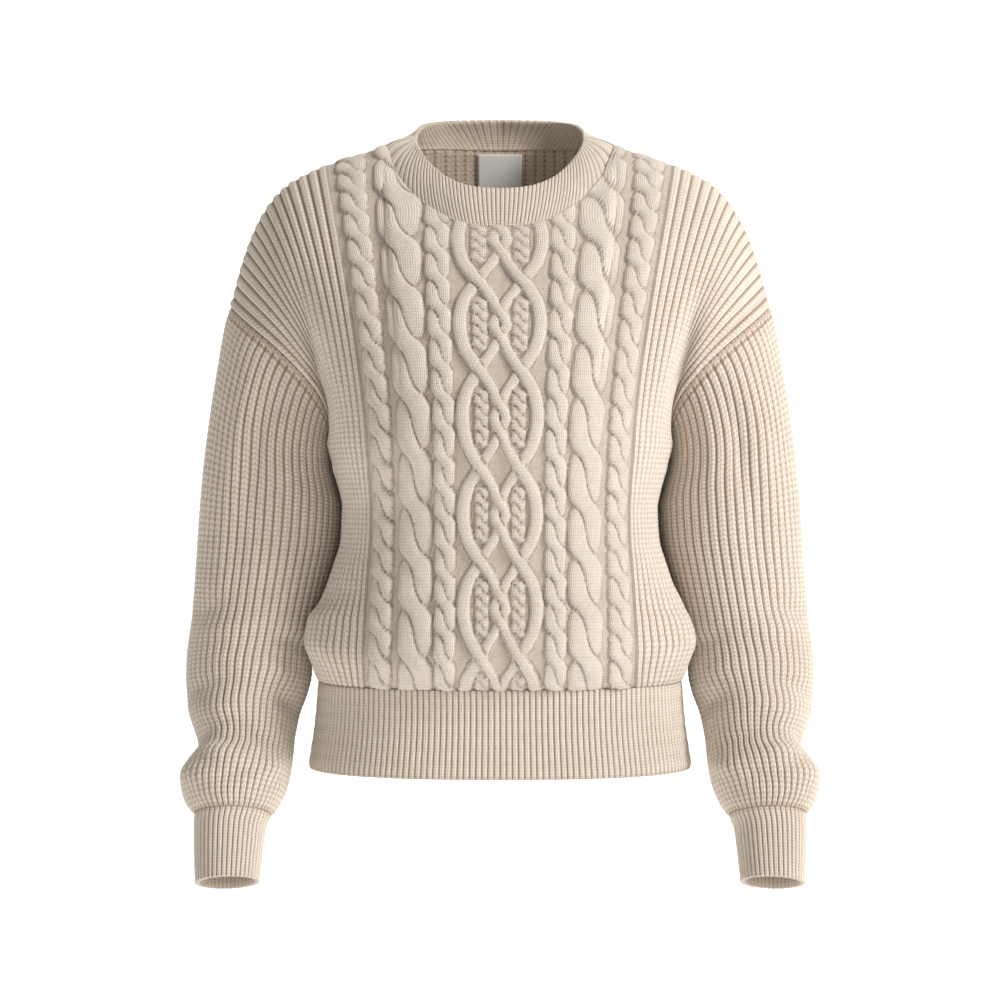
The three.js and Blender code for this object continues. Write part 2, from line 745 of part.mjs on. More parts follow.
// A closed body panel: a middle net, a net on each side of it and a plain inside.
// The inside has the same rows as the side nets, so the wall keeps its thickness.
function panel(name, isFront, fineColumns, fineRows, sideColumns, relief) {
  const wall = new Wall();
  const net = (columns, rows, height) => rows.map((h) => columns.map((q) => (
    wall.add(panelPoint(isFront ? q : -q, h, isFront, height(q, h)))
  )));
  const raised = (q, h) => (
    relief(q, isFront ? waleRun(q, h) : 0) * pitFade(q, h) * (h > 1.999 ? SEAM_RELIEF : 1)
  );
  const middle = net(fineColumns, fineRows, raised);
  const right = net(sideColumns, PANEL_ROWS, raised);
  const left = net(sideColumns.map((q) => -q).reverse(), PANEL_ROWS, raised);
  const inner = net(INNER_COLUMNS, PANEL_ROWS, () => -WALL);
  const edge = (rows, c) => rows.map((row) => row[c]);
  wall.net(middle, false);
  wall.net(right, false);
  wall.net(left, false);
  wall.net(inner, true);
  const last = sideColumns.length - 1;
  const rim = middle[0].length - 1;
  wall.zip(edge(left, last), edge(middle, 0));
  wall.zip(edge(middle, rim), edge(right, 0));
  const loop = (row) => [...left[row(left)], ...middle[row(middle)], ...right[row(right)]];
  const bottom = loop(() => 0);
  const top = loop((rows) => rows.length - 1);
  const rightEdge = net([1], EDGE_ROWS, raised).flat();
  const leftEdge = net([-1], EDGE_ROWS, raised).flat();
  const innerRight = net([1], EDGE_ROWS, () => -WALL).flat();
  const innerLeft = net([-1], EDGE_ROWS, () => -WALL).flat();
  wall.zip(edge(right, last), rightEdge);
  wall.zip(leftEdge, edge(left, 0));
  wall.zip(innerRight, edge(inner, INNER_COLUMNS.length - 1));
  wall.zip(edge(inner, 0), innerLeft);
  const end = EDGE_ROWS.length - 1;
  const innerLoop = (row, at) => [innerLeft[at], ...row, innerRight[at]];
  wall.zip([leftEdge[0], ...bottom, rightEdge[0]], innerLoop(inner[0], 0));
  wall.zip(rightEdge, innerRight);
  const topLoop = [leftEdge[end], ...top, rightEdge[end]];
  wall.zip(topLoop.reverse(), innerLoop(inner[inner.length - 1], end).reverse());
  wall.zip([...leftEdge].reverse(), [...innerLeft].reverse());
  return wall.mesh(name);
}

const finePlaces = CABLE_COLUMNS.map((s) => (s / CABLE_HALF_WIDTH) * CABLE_SHARE);
const frontColumns = [...finePlaces.slice(1).reverse().map((q) => -q), ...finePlaces];
const frontSides = spread(CABLE_SHARE, 1, SIDE_RIBS * 2).slice(1, -1);
const cableRows = PANEL_ROWS.slice(1).flatMap((h, i) => (
  spread(PANEL_ROWS[i], h, CABLE_ROWS_EACH[i]).slice(i === 0 ? 0 : 1)
));
const backPlaces = spread(-1, 1, BACK_RIBS_PER_HALF * 4);
const backColumns = backPlaces.filter((q) => Math.abs(q) < 0.5);
const backSides = backPlaces.filter((q) => q >= 0.5 && q < 0.999);

const sweater = new THREE.Group();
sweater.name = 'cable_knit_sweater';

sweater.add(panel('front', true, frontColumns, cableRows, frontSides, frontRelief));
sweater.add(panel('back', false, backColumns, PANEL_ROWS, backSides, (q) => (
  RIB_RELIEF * ribWave(Math.abs(q) * BACK_RIBS_PER_HALF)
)));

// A sleeve or a cuff between two stations, on the viewer's left (-1) or right (1)
function sleeveTube(name, side, stations, ribs, innerColumns, relief) {
  const rows = stations.length - 1;
  return tube(name, (place, row) => {
    const along = stations[rows - row];
    const turn = side > 0 ? place : 1 - place;
    let point = sleevePoint(turn, along);
    let out = sleeveNormal(turn, along);
    if (along === 0) {
      const axes = armholeAxes(turn);
      out = axes.sleeveOut;
      point.addScaledVector(axes.toSleeve, SEAM_HALF_GAP);
      point.x += PIT_GAP * Math.exp(-((Math.min(turn, 1 - turn) / PIT_GAP_REACH) ** 4));
    } else if (along === CUFF_TOP) {
      const inside = row === 0 ? -SEAM_HALF_GAP : SEAM_HALF_GAP;
      point = sleevePoint(turn, along + inside);
    }
    point.x *= side;
    out.x *= side;
    return { point, out };
  }, rows, ribs * 2, innerColumns, relief, stations[0] === 0 ? [rows] : []);
}

sweater.add(sleeveTube('sleeve_left', -1, SLEEVE_STATIONS, SLEEVE_RIBS, 20, RIB_RELIEF));
sweater.add(sleeveTube('sleeve_right', 1, SLEEVE_STATIONS, SLEEVE_RIBS, 20, RIB_RELIEF));
sweater.add(sleeveTube('cuff_left', -1, CUFF_STATIONS, CUFF_RIBS, 20, FINE_RIB_RELIEF));
sweater.add(sleeveTube('cuff_right', 1, CUFF_STATIONS, CUFF_RIBS, 20, FINE_RIB_RELIEF));

// Level ring round both panels with even spacing, from the middle of the front
function hemPoint(turn, z) {
  const quarter = turn * 4;
  const isFront = quarter < 1 || quarter > 3;
  let q = 2 - quarter;
  if (quarter < 1) {
    q = quarter;
  } else if (quarter > 3) {
    q = quarter - 4;
  }
  return levelPoint(z, q, isFront, true);
}

const HEM_LEVELS = [HEM_BOTTOM_Z, HEM_TOP_Z - SEAM_HALF_GAP];
sweater.add(tube('hem_band', (turn, row) => {
  const z = HEM_LEVELS[row];
  const next = hemPoint((turn + HEM_STEP) % 1, z);
  const round = next.sub(hemPoint((turn + 1 - HEM_STEP) % 1, z));
  const out = new THREE.Vector3(round.y, -round.x, 0).normalize();
  return { point: hemPoint(turn, z), out };
}, HEM_LEVELS.length - 1, HEM_RIBS * 2, 44, FINE_RIB_RELIEF));

const NECK_ROWS = 2;
sweater.add(tube('neckband', (place, row) => {
  const turn = place < 0.5 ? place * 2 : (1 - place) * 2;
  const side = place < 0.5 ? 1 : -1;
  const rise = row / NECK_ROWS;
  const point = neckbandPoint(turn, rise);
  let out = neckbandNormal(turn, rise);
  if (row === 0) {
    const { q, isFront } = neckPlace(turn);
    out = seamOut(out, bodyNormal(q, 2, isFront));
    point.add(neckbandPoint(turn, STEP).sub(point).normalize().multiplyScalar(SEAM_HALF_GAP));
  }
  point.x *= side;
  out.x *= side;
  return { point, out };
}, NECK_ROWS, NECK_RIBS * 2, 40, FINE_RIB_RELIEF));

// Bare label hanging inside the back, its top edge in the neck seam
const LABEL = { half: 20, top: 5.5, length: 45, thick: 1, clear: 2.4, rows: 3 };
function buildLabel() {
  const wall = new Wall();
  const clothDepth = (z) => {
    let h = 2;
    while (bodyPoint(0, h, false).z > z) {
      h -= STEP / 4;
    }
    return bodyPoint(0, h, false).y;
  };
  const net = (depth) => spread(-LABEL.length, 0, LABEL.rows).map((drop) => (
    spread(-LABEL.half, LABEL.half, LABEL.rows).map((x) => (
      wall.add(new THREE.Vector3(x, clothDepth(LABEL.top + drop) - depth, LABEL.top + drop))
    ))
  ));
  const near = net(WALL + LABEL.clear + LABEL.thick);
  const far = net(WALL + LABEL.clear);
  wall.net(near, false);
  wall.net(far, true);
  const edge = (rows, c) => rows.map((row) => row[c]);
  wall.zip(near[0], far[0]);
  wall.zip(edge(near, LABEL.rows), edge(far, LABEL.rows));
  wall.zip([...near[LABEL.rows]].reverse(), [...far[LABEL.rows]].reverse());
  wall.zip(edge(near, 0).reverse(), edge(far, 0).reverse());
  return wall.mesh('label');
}
sweater.add(buildLabel());

export default sweater;
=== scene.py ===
import math

import bpy
import numpy as np
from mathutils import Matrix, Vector


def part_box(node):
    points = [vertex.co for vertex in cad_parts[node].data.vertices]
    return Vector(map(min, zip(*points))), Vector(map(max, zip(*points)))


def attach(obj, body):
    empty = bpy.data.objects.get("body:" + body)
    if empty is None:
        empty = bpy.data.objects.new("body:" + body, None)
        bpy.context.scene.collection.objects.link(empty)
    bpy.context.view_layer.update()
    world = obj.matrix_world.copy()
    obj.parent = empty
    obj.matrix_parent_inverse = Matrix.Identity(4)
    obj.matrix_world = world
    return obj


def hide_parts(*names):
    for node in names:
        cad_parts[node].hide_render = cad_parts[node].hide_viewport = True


# Cable knit sweater, filled out as if worn. Shapes are worked out in millimetres and
# turned into metres when a mesh is made. The front faces -Y and +Z is up.
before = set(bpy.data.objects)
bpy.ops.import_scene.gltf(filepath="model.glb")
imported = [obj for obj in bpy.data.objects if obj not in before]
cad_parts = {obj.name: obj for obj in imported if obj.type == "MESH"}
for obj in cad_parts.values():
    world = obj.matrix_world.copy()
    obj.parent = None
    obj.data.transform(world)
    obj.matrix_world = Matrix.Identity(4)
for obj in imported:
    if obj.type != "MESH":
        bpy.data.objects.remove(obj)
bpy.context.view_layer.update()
MM = 0.001

WALL = 2.2
SEAM_GAP = 0.2
ARMPIT_Z = -258
HEM_TOP_Z = -466
HEM_BOTTOM_Z = -541
SECTION_POWER = 2.4
CORNER_POWER = 8
CORNER_GAIN = 4.8
BACK_BULGE = 0.35
BACK_CREASE = 0.4
CABLE_HALF_WIDTH = 118
CABLE_SHARE = 0.53
SIDE_RIBS = 16
BACK_RIBS = 31
SLEEVE_RIBS = 48
HEM_RIBS = 178
NECK_RIBS = 106
CUFF_RIBS = 42
NECK_SHARE = 0.3548
NECK_FRONT_TURN = 0.55
CUFF_TOP = 377
CUFF_END = 434
ARMHOLE_BLEND = 70
LOOP_STEPS = 240
RIB_RISE = 2.5
# Height of one course of stitches in the plain ribs and in the bands
RIB_COURSE = 4.3
BAND_COURSE = 2.6
# Millimetres of cloth for one unit of q beside the armhole seam
SEAM_SPAN = 112
BODY_FOLD_GAIN = 1.5
SLEEVE_FOLD_GAIN = 1.35


def table(names, rows):
    data = np.array(rows, dtype=float)
    return {name: data[:, i] for i, name in enumerate(names)} | {"at": data[:, 0]}


BODY = table(["z", "half", "front", "back", "bulge"], [
    [-545, 166.6, 112, 119, 0],
    [-541, 166.3, 112, 118, 0],
    [-503, 160.6, 110, 112, 0],
    [-466, 157.5, 112, 108, 0],
    [-459, 157.2, 118, 112, 4],
    [-444, 156.2, 129, 118, 11],
    [-428, 155.0, 132, 120, 17],
    [-410, 152.0, 130, 114, 17],
    [-398, 149.0, 128, 110, 13],
    [-383, 145.5, 126, 105, 7],
    [-363, 141.5, 126, 101, 3],
    [-343, 137.5, 127, 99, 0],
    [-318, 135.5, 129, 98, 0],
    [-299, 139.0, 134, 99, 0],
    [-273, 146.5, 142, 103, 0],
    [-258, 150.5, 145, 105, 0],
    [-240, 152.0, 145, 106, 0],
])

# Rows that the front and the back share: along the shoulder and down the armhole
SHOULDER_ROWS = [
    [0.3548, 101.7, 0, 3.0],
    [0.406, 115.0, 0, -2.0],
    [0.465, 131.6, 0, -7.5],
    [0.530, 151.0, 0, -14.0],
    [0.588, 169.0, 0, -22.0],
    [0.644, 186.0, 0, -31.5],
    [0.696, 198.0, 0, -43.0],
    [0.743, 207.5, 0, -56.5],
    [0.799, 216.0, 0, -73.0],
    [0.866, 224.0, 0, -94.0],
    [0.919, 229.5, 0, -112.0],
    [0.970, 234.2, 0, -130.0],
    [1.000, 236.3, 0, -138.7],
]

FRONT_END = table(["q", "x", "y", "z"], [
    [0.000, 0.0, -92, -77.5],
    [0.090, 24.0, -91, -76.0],
    [0.175, 44.7, -85, -69.3],
    [0.257, 67.0, -70, -53.5],
    [0.309, 84.7, -48, -33.8],
    [0.336, 94.5, -25, -15.5],
] + SHOULDER_ROWS)

BACK_END = table(["q", "x", "y", "z"], [
    [0.000, 0.0, 68, 9.0],
    [0.090, 26.0, 66, 9.3],
    [0.175, 49.5, 59, 9.2],
    [0.257, 74.0, 44, 8.2],
    [0.309, 89.0, 25, 6.6],
    [0.336, 96.0, 13, 4.8],
] + SHOULDER_ROWS)

RISE = table(["q", "x", "y", "z"], [
    [0.00, 0, -2, 60],
    [0.30, 2, -2, 62],
    [0.53, 3, -4, 66],
    [0.66, 0, -14, 64],
    [0.78, -8, -34, 58],
    [0.90, -21, -54, 52],
    [0.96, -20, -60, 51],
    [1.00, -14, -62, 50],
])

FRONT_FALL = table(["q", "x", "y", "z"], [
    [0.000, 0, -24, -55],
    [0.175, 1, -27, -50],
    [0.257, 3, -36, -46],
    [0.309, 4, -52, -43],
    [0.3548, 3, -80, -40],
    [0.430, -1, -86, -32],
    [0.530, -6, -88, -24],
    [0.750, -17, -87, -21],
    [1.000, -28, -84, -30],
])

BACK_FALL = table(["q", "x", "y", "z"], [
    [0.000, 0, -20, -70],
    [0.175, 1, -26, -66],
    [0.257, 3, -40, -57],
    [0.309, 4, -54, -50],
    [0.3548, 3, -76, -42],
    [0.430, -1, -79, -33],
    [0.530, -6, -82, -24],
    [0.750, -17, -84, -21],
    [1.000, -28, -82, -30],
])

SLEEVE = table(["along", "outX", "outZ", "inX", "inZ", "midY", "depth", "lean"], [
    [0, 236.3, -138.7, 150.5, -258.0, 0, 62, 0],
    [14, 241.2, -156.3, 152.5, -266.0, 4, 62, 0],
    [37, 247.5, -192.5, 151.0, -279.0, 8, 61, 0],
    [64, 253.9, -232.2, 146.6, -293.0, 11, 60, 0],
    [99, 260.3, -281.6, 141.9, -314.0, 12, 60, 0],
    [140, 264.6, -334.4, 143.6, -343.0, 12, 59, 0],
    [164, 266.3, -362.5, 147.6, -363.0, 11, 58, 0],
    [190, 268.1, -389.0, 153.4, -389.0, 10, 57, 0],
    [209, 269.5, -408.0, 157.2, -408.0, 8, 56, 2],
    [231, 271.9, -430.0, 160.6, -430.0, 5, 56, 5],
    [252, 273.4, -451.0, 165.0, -451.0, 0, 55, 9],
    [265, 273.1, -464.0, 167.5, -464.0, -4, 54, 11],
    [278, 272.1, -476.6, 171.0, -476.6, -9, 53, 13],
    [293, 270.0, -491.9, 176.0, -491.9, -15, 51, 15],
    [312, 262.5, -511.3, 180.2, -511.3, -25, 47, 17],
    [325, 261.9, -523.8, 181.0, -523.8, -32, 46, 18],
    [340, 268.7, -538.8, 182.2, -538.8, -41, 47, 19],
    [354, 271.4, -552.8, 184.6, -552.8, -48, 46, 20],
    [367, 268.1, -566.0, 190.3, -566.0, -53, 41, 20],
    [377, 260.6, -576.6, 196.8, -576.6, -57, 34, 20],
    [387, 259.7, -586.5, 201.3, -586.5, -60, 31, 20],
    [403, 258.9, -601.8, 203.1, -601.8, -66, 29, 20],
    [434, 256.4, -633.0, 205.4, -630.4, -78, 28, 20],
])

NECK_TOP = table(["turn", "x", "y", "z"], [
    [0.00, 0, -76, -44.5],
    [0.12, 25, -73, -42.0],
    [0.24, 46, -62, -32.5],
    [0.34, 60, -46, -18.5],
    [0.44, 69.5, -26, -3.0],
    [0.55, 73, 0, 10.5],
    [0.66, 72, 17, 21.0],
    [0.76, 66, 36, 28.5],
    [0.87, 46, 52, 33.5],
    [1.00, 0, 60, 36.0],
])

CREASE = table(["z", "x", "deep", "wide"], [
    [-330, 130, 0, 12],
    [-300, 139, 3, 12],
    [-273, 147, 9, 11],
    [-240, 151, 14, 10],
    [-205, 153, 17, 10],
    [-182, 155, 15, 10],
    [-159, 160, 11, 10],
    [-131, 168, 5, 12],
    [-105, 174, 0, 13],
])


def read(source, name, at):
    """Smooth value of one column of a table; flat at every peak, as in the solids."""
    x, y = source["at"], source[name]
    at = np.asarray(at, dtype=float)
    slope = np.empty(len(x))
    slope[1:-1] = (y[2:] - y[:-2]) / (x[2:] - x[:-2])
    slope[1:-1][(y[1:-1] - y[:-2]) * (y[2:] - y[1:-1]) <= 0] = 0
    slope[0] = (y[1] - y[0]) / (x[1] - x[0])
    slope[-1] = (y[-1] - y[-2]) / (x[-1] - x[-2])
    i = np.clip(np.searchsorted(x, at, side="left") - 1, 0, len(x) - 2)
    span = x[i + 1] - x[i]
    f = (at - x[i]) / span
    a, b, sa, sb = y[i], y[i + 1], slope[i], slope[i + 1]
    inside = (a * (2 * f**3 - 3 * f**2 + 1) + sa * span * (f**3 - 2 * f**2 + f)
              + b * (3 * f**2 - 2 * f**3) + sb * span * (f**3 - f**2))
    return np.where(f < 0, a + sa * f * span, np.where(f > 1, b + sb * (f - 1) * span, inside))


def smooth(x, low, high):
    f = np.clip((x - low) / (high - low), 0, 1)
    return f * f * (3 - 2 * f)


def unit(v):
    return v / np.maximum(np.linalg.norm(v, axis=-1, keepdims=True), 1e-9)


def quarter(half, depth, bulge):
    turn = np.linspace(0, math.pi / 2, 241)
    corner = CORNER_GAIN * np.sin(turn) ** CORNER_POWER * np.cos(turn)
    x = half * np.sin(turn) ** (2 / SECTION_POWER) + bulge * corner
    y = depth * np.abs(np.cos(turn)) ** (2 / SECTION_POWER)
    run = np.concatenate([[0], np.cumsum(np.hypot(np.diff(x), np.diff(y)))])
    return x, y, run


def level_row(z, q, is_front, even=False):
    """Points of one level section; q is signed and runs to 1 at the side seam."""
    depth = float(read(BODY, "front" if is_front else "back", z))
    bulge = float(read(BODY, "bulge", z)) * (1 if is_front else BACK_BULGE)
    x, y, run = quarter(float(read(BODY, "half", z)), depth, bulge)
    amount = np.abs(q)
    length = amount * run[-1]
    if is_front and not even:
        beyond = (amount - CABLE_SHARE) / (1 - CABLE_SHARE)
        length = np.where(amount <= CABLE_SHARE, amount / CABLE_SHARE * CABLE_HALF_WIDTH,
                          CABLE_HALF_WIDTH + beyond * (run[-1] - CABLE_HALF_WIDTH))
    facing = -1 if is_front else 1
    return np.stack([np.sign(q) * np.interp(length, run, x), facing * np.interp(length, run, y),
                     np.full(len(q), float(z))], axis=-1)


def body_points(q, h, is_front):
    """Unraised cloth of the front or back as a net: rows follow h, columns follow q."""
    q = np.asarray(q, dtype=float)
    facing = -1 if is_front else 1
    rows = []
    start = level_row(ARMPIT_Z, q, is_front)
    side, amount = np.sign(q), np.abs(q)
    ends, falls = (FRONT_END, FRONT_FALL) if is_front else (BACK_END, BACK_FALL)
    end = np.stack([side * read(ends, "x", amount), read(ends, "y", amount), read(ends, "z", amount)], -1)
    one = start + np.stack([side * read(RISE, "x", amount), -facing * read(RISE, "y", amount),
                            read(RISE, "z", amount)], -1)
    two = end + np.stack([side * read(falls, "x", amount), -facing * read(falls, "y", amount),
                          read(falls, "z", amount)], -1)
    for level in h:
        if level <= 1:
            rows.append(level_row(HEM_TOP_Z + (ARMPIT_Z - HEM_TOP_Z) * level, q, is_front))
        else:
            f = level - 1
            rows.append((1 - f)**3 * start + 3 * f * (1 - f)**2 * one
                        + 3 * f * f * (1 - f) * two + f**3 * end)
    net = np.array(rows)
    edge = np.clip((1 - amount) * 12, 0, 1)
    z = net[..., 2]
    away = (np.abs(net[..., 0]) - read(CREASE, "x", z)) / read(CREASE, "wide", z)
    deep = np.maximum(read(CREASE, "deep", z), 0) * np.exp(-away**2) * (1 if is_front else BACK_CREASE)
    deep = np.where((z > CREASE["at"][0]) & (z < CREASE["at"][-1]), deep, 0) * edge
    net[..., 1] -= facing * deep
    return net


def net_normals(net, wrap=False, flip=False):
    if wrap:
        across = np.roll(net, -1, axis=1) - np.roll(net, 1, axis=1)
    else:
        across = np.gradient(net, axis=1)
    up = np.gradient(net, axis=0)
    out = unit(np.cross(across, up))
    return -out if flip else out


def make_armhole():
    """The edge of the armhole as a loop: up the front half, then down the back half."""
    f = np.linspace(0, 1, LOOP_STEPS // 2 + 1)
    front = body_points([1.0], 1 + f, True)[:, 0]
    back = body_points([1.0], 1 + f, False)[:, 0][::-1]
    points = np.concatenate([front, back[1:]])
    run = np.concatenate([[0], np.cumsum(np.linalg.norm(np.diff(points, axis=0), axis=1))])
    half = run[LOOP_STEPS // 2]
    turn = np.where(run <= half, run / half / 2, 0.5 + (run - half) / (run[-1] - half) / 2)
    return turn, points


ARMHOLE_TURN, ARMHOLE = make_armhole()


def armhole_points(turn):
    wrapped = turn - np.floor(turn)
    return np.stack([np.interp(wrapped, ARMHOLE_TURN, ARMHOLE[:, k]) for k in range(3)], -1)


def sleeve_ring(turn, along):
    """Rings of the plain sleeve: along has one value per row, turn one per column."""
    value = {name: read(SLEEVE, name, along)[:, None] for name in
             ("outX", "outZ", "inX", "inZ", "midY", "depth", "lean")}
    outer = np.concatenate([value["outX"], 0 * value["outX"], value["outZ"]], 1)
    inner = np.concatenate([value["inX"], 0 * value["inX"], value["inZ"]], 1)
    middle = (outer + inner) / 2
    middle[:, 1] = value["midY"][:, 0]
    half = np.linalg.norm(outer - inner, axis=1)[:, None, None] / 2
    inward = unit(inner - outer)[:, None, :]
    lean = np.radians(value["lean"][:, 0])
    forward = np.stack([0 * lean, -np.cos(lean), np.sin(lean)], -1)[:, None, :]
    angle = (turn * 2 * math.pi)[None, :, None]
    return (middle[:, None, :] + inward * half * np.cos(angle)
            + forward * value["depth"][:, :, None] * np.sin(angle))


def sleeve_points(turn, along):
    net = sleeve_ring(turn, along)
    share = np.clip(1 - along / ARMHOLE_BLEND, 0, 1)[:, None, None] ** 2
    return net + share * (armhole_points(turn) - sleeve_ring(turn, np.array([0.0]))[0])[None]


def neck_points(turn, rise):
    """Neckband rows; turn is signed: 0 the middle of the front, 1 or -1 the middle of the back."""
    amount, side = np.abs(turn), np.where(turn < 0, -1, 1)
    is_front = amount < NECK_FRONT_TURN
    q = np.where(is_front, amount / NECK_FRONT_TURN, (1 - amount) / (1 - NECK_FRONT_TURN)) * NECK_SHARE
    low = np.stack([np.where(is_front, read(FRONT_END, k, q), read(BACK_END, k, q)) for k in "xyz"], -1)
    high = np.stack([read(NECK_TOP, k, amount) for k in "xyz"], -1)
    outward = unit(np.stack([low[:, 0], low[:, 1], np.full(len(q), 40.0)], -1))
    rows = [low + (high - low) * r + outward * math.sin(r * math.pi) * 3 for r in rise]
    net = np.array(rows)
    net[..., 0] *= side
    return net


# Knit relief: heights are in millimetres, domes and lifts are shares of one strand.

def wale_height(u, v, rise, leg, valley):
    """A raised wale of V stitches; u counts wales and v counts courses."""
    a = np.abs(u - np.floor(u) - 0.5)
    body = np.clip(1 - (2.06 * a) ** 2.4, 0, 1)
    legs = np.sin(math.pi * (v + 1.15 * a)) ** 2 - 0.5
    groove = np.exp(-(a / 0.07) ** 2)
    dots = np.exp(-((0.5 - a) / 0.12) ** 2) * (0.5 + 0.5 * np.cos(2 * math.pi * v))
    return rise * body + leg * legs * body - 0.6 * leg * groove - valley * dots


def strand_dome(across):
    """Cross section of one strand: 1 along its middle, 0 at its edges, flat on top."""
    return np.clip(1 - np.abs(across) ** 2.6, 0, 1) ** 0.55


SWING_SHARPNESS = 1.6
SWING_SLOPE = 1.74
ROPE_SWING = 0.21
STRAND_HALF = 0.285
SLOPE_WIDENING = 0.7


def swing_of(x):
    return np.tanh(SWING_SHARPNESS * x) / math.tanh(SWING_SHARPNESS)


def join(layers, over):
    """Adds one strand (height, local, lift) to the strands that already lie there."""
    height, nearest, local, lift = layers
    part, place, up = over
    take = part > height
    nearest = np.where(take, height, np.maximum(nearest, part))
    return (np.where(take, part, height), nearest, np.where(take, place, local), np.where(take, up, lift))


def rope_strands(s, n, middle, width, pitch):
    """The two strands of a rope; the upper one always runs down to the right."""
    for sign in (1, -1):
        x = -sign * ROPE_SWING * width * swing_of(np.sin(math.pi * n))
        slope = ROPE_SWING * width * SWING_SLOPE * math.pi * np.cos(math.pi * n) / pitch
        lift = sign * np.cos(math.pi * n)
        half = (STRAND_HALF + 0.012 * lift) * width * np.sqrt(1 + SLOPE_WIDENING * slope**2)
        off = s - middle - x
        yield strand_dome(off / half) * (0.74 + 0.26 * lift), off, lift


INNER = table(["u", "x", "lift"], [
    [-0.25, -27, 0], [-0.12, -22, -0.7], [0, -16, -1], [0.1, -11.5, -0.8], [0.22, -5.5, 0], [0.365, 0, -1],
    [0.5, 4.6, 0], [0.635, 0, 1], [0.78, -5.5, 0], [0.88, -9.5, 0.6], [1, -16, 1], [1.25, -27, 0],
])
OUTER = table(["u", "x", "lift"], [
    [-0.12, -9.5, 0.6], [0, -16, 1], [0.12, -22, 0.6], [0.25, -27.2, 0], [0.5, -30.4, 0], [0.75, -27.2, 0],
    [0.88, -22, -0.6], [1, -16, -1], [1.12, -10.5, -0.7],
])
OVAL_START = -178.5
OVAL_STEP = 77.5
OVAL_GROWTH = 0.3
OVALS = np.array([OVAL_START + OVAL_STEP * k + OVAL_GROWTH * k * k for k in range(-1, 7)])


def plait_strands(s, t):
    """Four strands that cross in pairs and again in the middle of each oval."""
    k = np.clip(np.searchsorted(OVALS, t, side="right") - 1, 0, len(OVALS) - 2)
    u = (t - OVALS[k]) / (OVALS[k + 1] - OVALS[k])
    for source in (INNER, OUTER):
        for side in (1, -1):
            at = u if side > 0 else 1 - u
            x = side * read(source, "x", at)
            slope = (read(source, "x", at + 0.01) - read(source, "x", at - 0.01)) / (0.02 * OVAL_STEP)
            half = (4.6 + 1.3 * smooth(np.abs(x), 8, 20)) * np.sqrt(1 + SLOPE_WIDENING * slope**2)
            lift = read(source, "lift", at)
            off = s - x
            yield strand_dome(off / half) * (0.76 + 0.24 * lift), off, lift
    shown = smooth(u, 0.17, 0.23) * (1 - smooth(u, 0.77, 0.83))
    for side in (-1, 1):
        for part, off, lift in rope_strands(s, (u - 0.255) / 0.1288, side * 14.9, 12.2, 10.0):
            yield part * shown * 0.62, off, lift


ROPES = [
    dict(middle=45.8, width=18.8, start=-182.0, spacing=23.0, growth=0.125),
    dict(middle=71.6, width=30.5, start=-180.7, spacing=40.8, growth=0.5),
    dict(middle=103.0, width=21.8, start=-182.2, spacing=22.6, growth=0.1),
]
CABLE_RELIEF = 5.2
STITCH_WIDE = 3.1
STITCH_TALL = 2.7


def add_seam_chain(raised, off, shown, rise, twist):
    """A chain of stitches along the armhole seam and a groove beside it; off is the distance in."""
    chain = np.exp(-((off - 2.2) / 1.4) ** 2) * shown
    groove = np.exp(-((off - 5.0) / 1.3) ** 2) * shown
    return raised * (1 - 0.8 * chain) + chain * (rise + twist) - 0.4 * groove, chain, groove


def front_relief(q, t):
    """Height, stitch coordinates, purl share and painted shade (the value deep: darker down in the valleys
    and grooves) of the front cloth.
    """
    s = q / CABLE_SHARE * CABLE_HALF_WIDTH
    s, t = np.broadcast_arrays(s, t)
    layers = (0.0 * s, 0.0 * s, s + 0.0, 0.0 * s)
    for strand in plait_strands(s, t):
        layers = join(layers, strand)
    for rope in ROPES:
        reach, g = rope["spacing"], rope["growth"]
        n = (-reach + np.sqrt(np.maximum(reach**2 + 4 * g * (t - rope["start"]), 1))) / (2 * g)
        for side in (-1, 1):
            for strand in rope_strands(s, n, side * rope["middle"], rope["width"], reach + 2 * g * n):
                layers = join(layers, strand)
    height, nearest, local, lift = layers
    # close marks the groove where two strands meet at nearly the same height; it is cut into the relief and
    # also painted dark as the shadow of the upper strand
    close = np.exp(-((height - nearest) / 0.12) ** 2) * smooth(nearest, 0.05, 0.3)
    close = close * (0.35 + 0.65 * np.abs(lift))
    purl = 1 - smooth(height, 0.02, 0.25)
    raised = CABLE_RELIEF * height - 1.3 * close
    u = local / STITCH_WIDE + 0.5
    v = t / STITCH_TALL
    # deep is painted shade: a little on the purl ground, a thin dark line along each strand's edge, and the
    # most in the grooves between strands
    edge = np.exp(-((height - 0.2) / 0.16) ** 2)
    deep = np.clip(0.20 * (1 - smooth(height, 0.0, 0.6)) + 0.42 * edge + 0.85 * close, 0, 1)
    ribs = (np.abs(q) - CABLE_SHARE) / (1 - CABLE_SHARE) * SIDE_RIBS
    in_ribs = smooth(ribs, 0.0, 0.12)
    course = t / RIB_COURSE
    rib_height = wale_height(ribs, course, RIB_RISE, 0.2, 0.2)
    raised = raised * (1 - in_ribs) + rib_height * in_ribs
    u = np.where(ribs > 0.02, ribs, u)
    v = np.where(ribs > 0.02, course, v)
    purl = purl * (1 - in_ribs)
    # painted shade in the rib valleys
    rib_deep = np.clip(1 - rib_height / 2.1, 0, 1)
    deep = deep * (1 - in_ribs) + rib_deep * in_ribs
    return raised, u, v, purl, deep


# Meshes

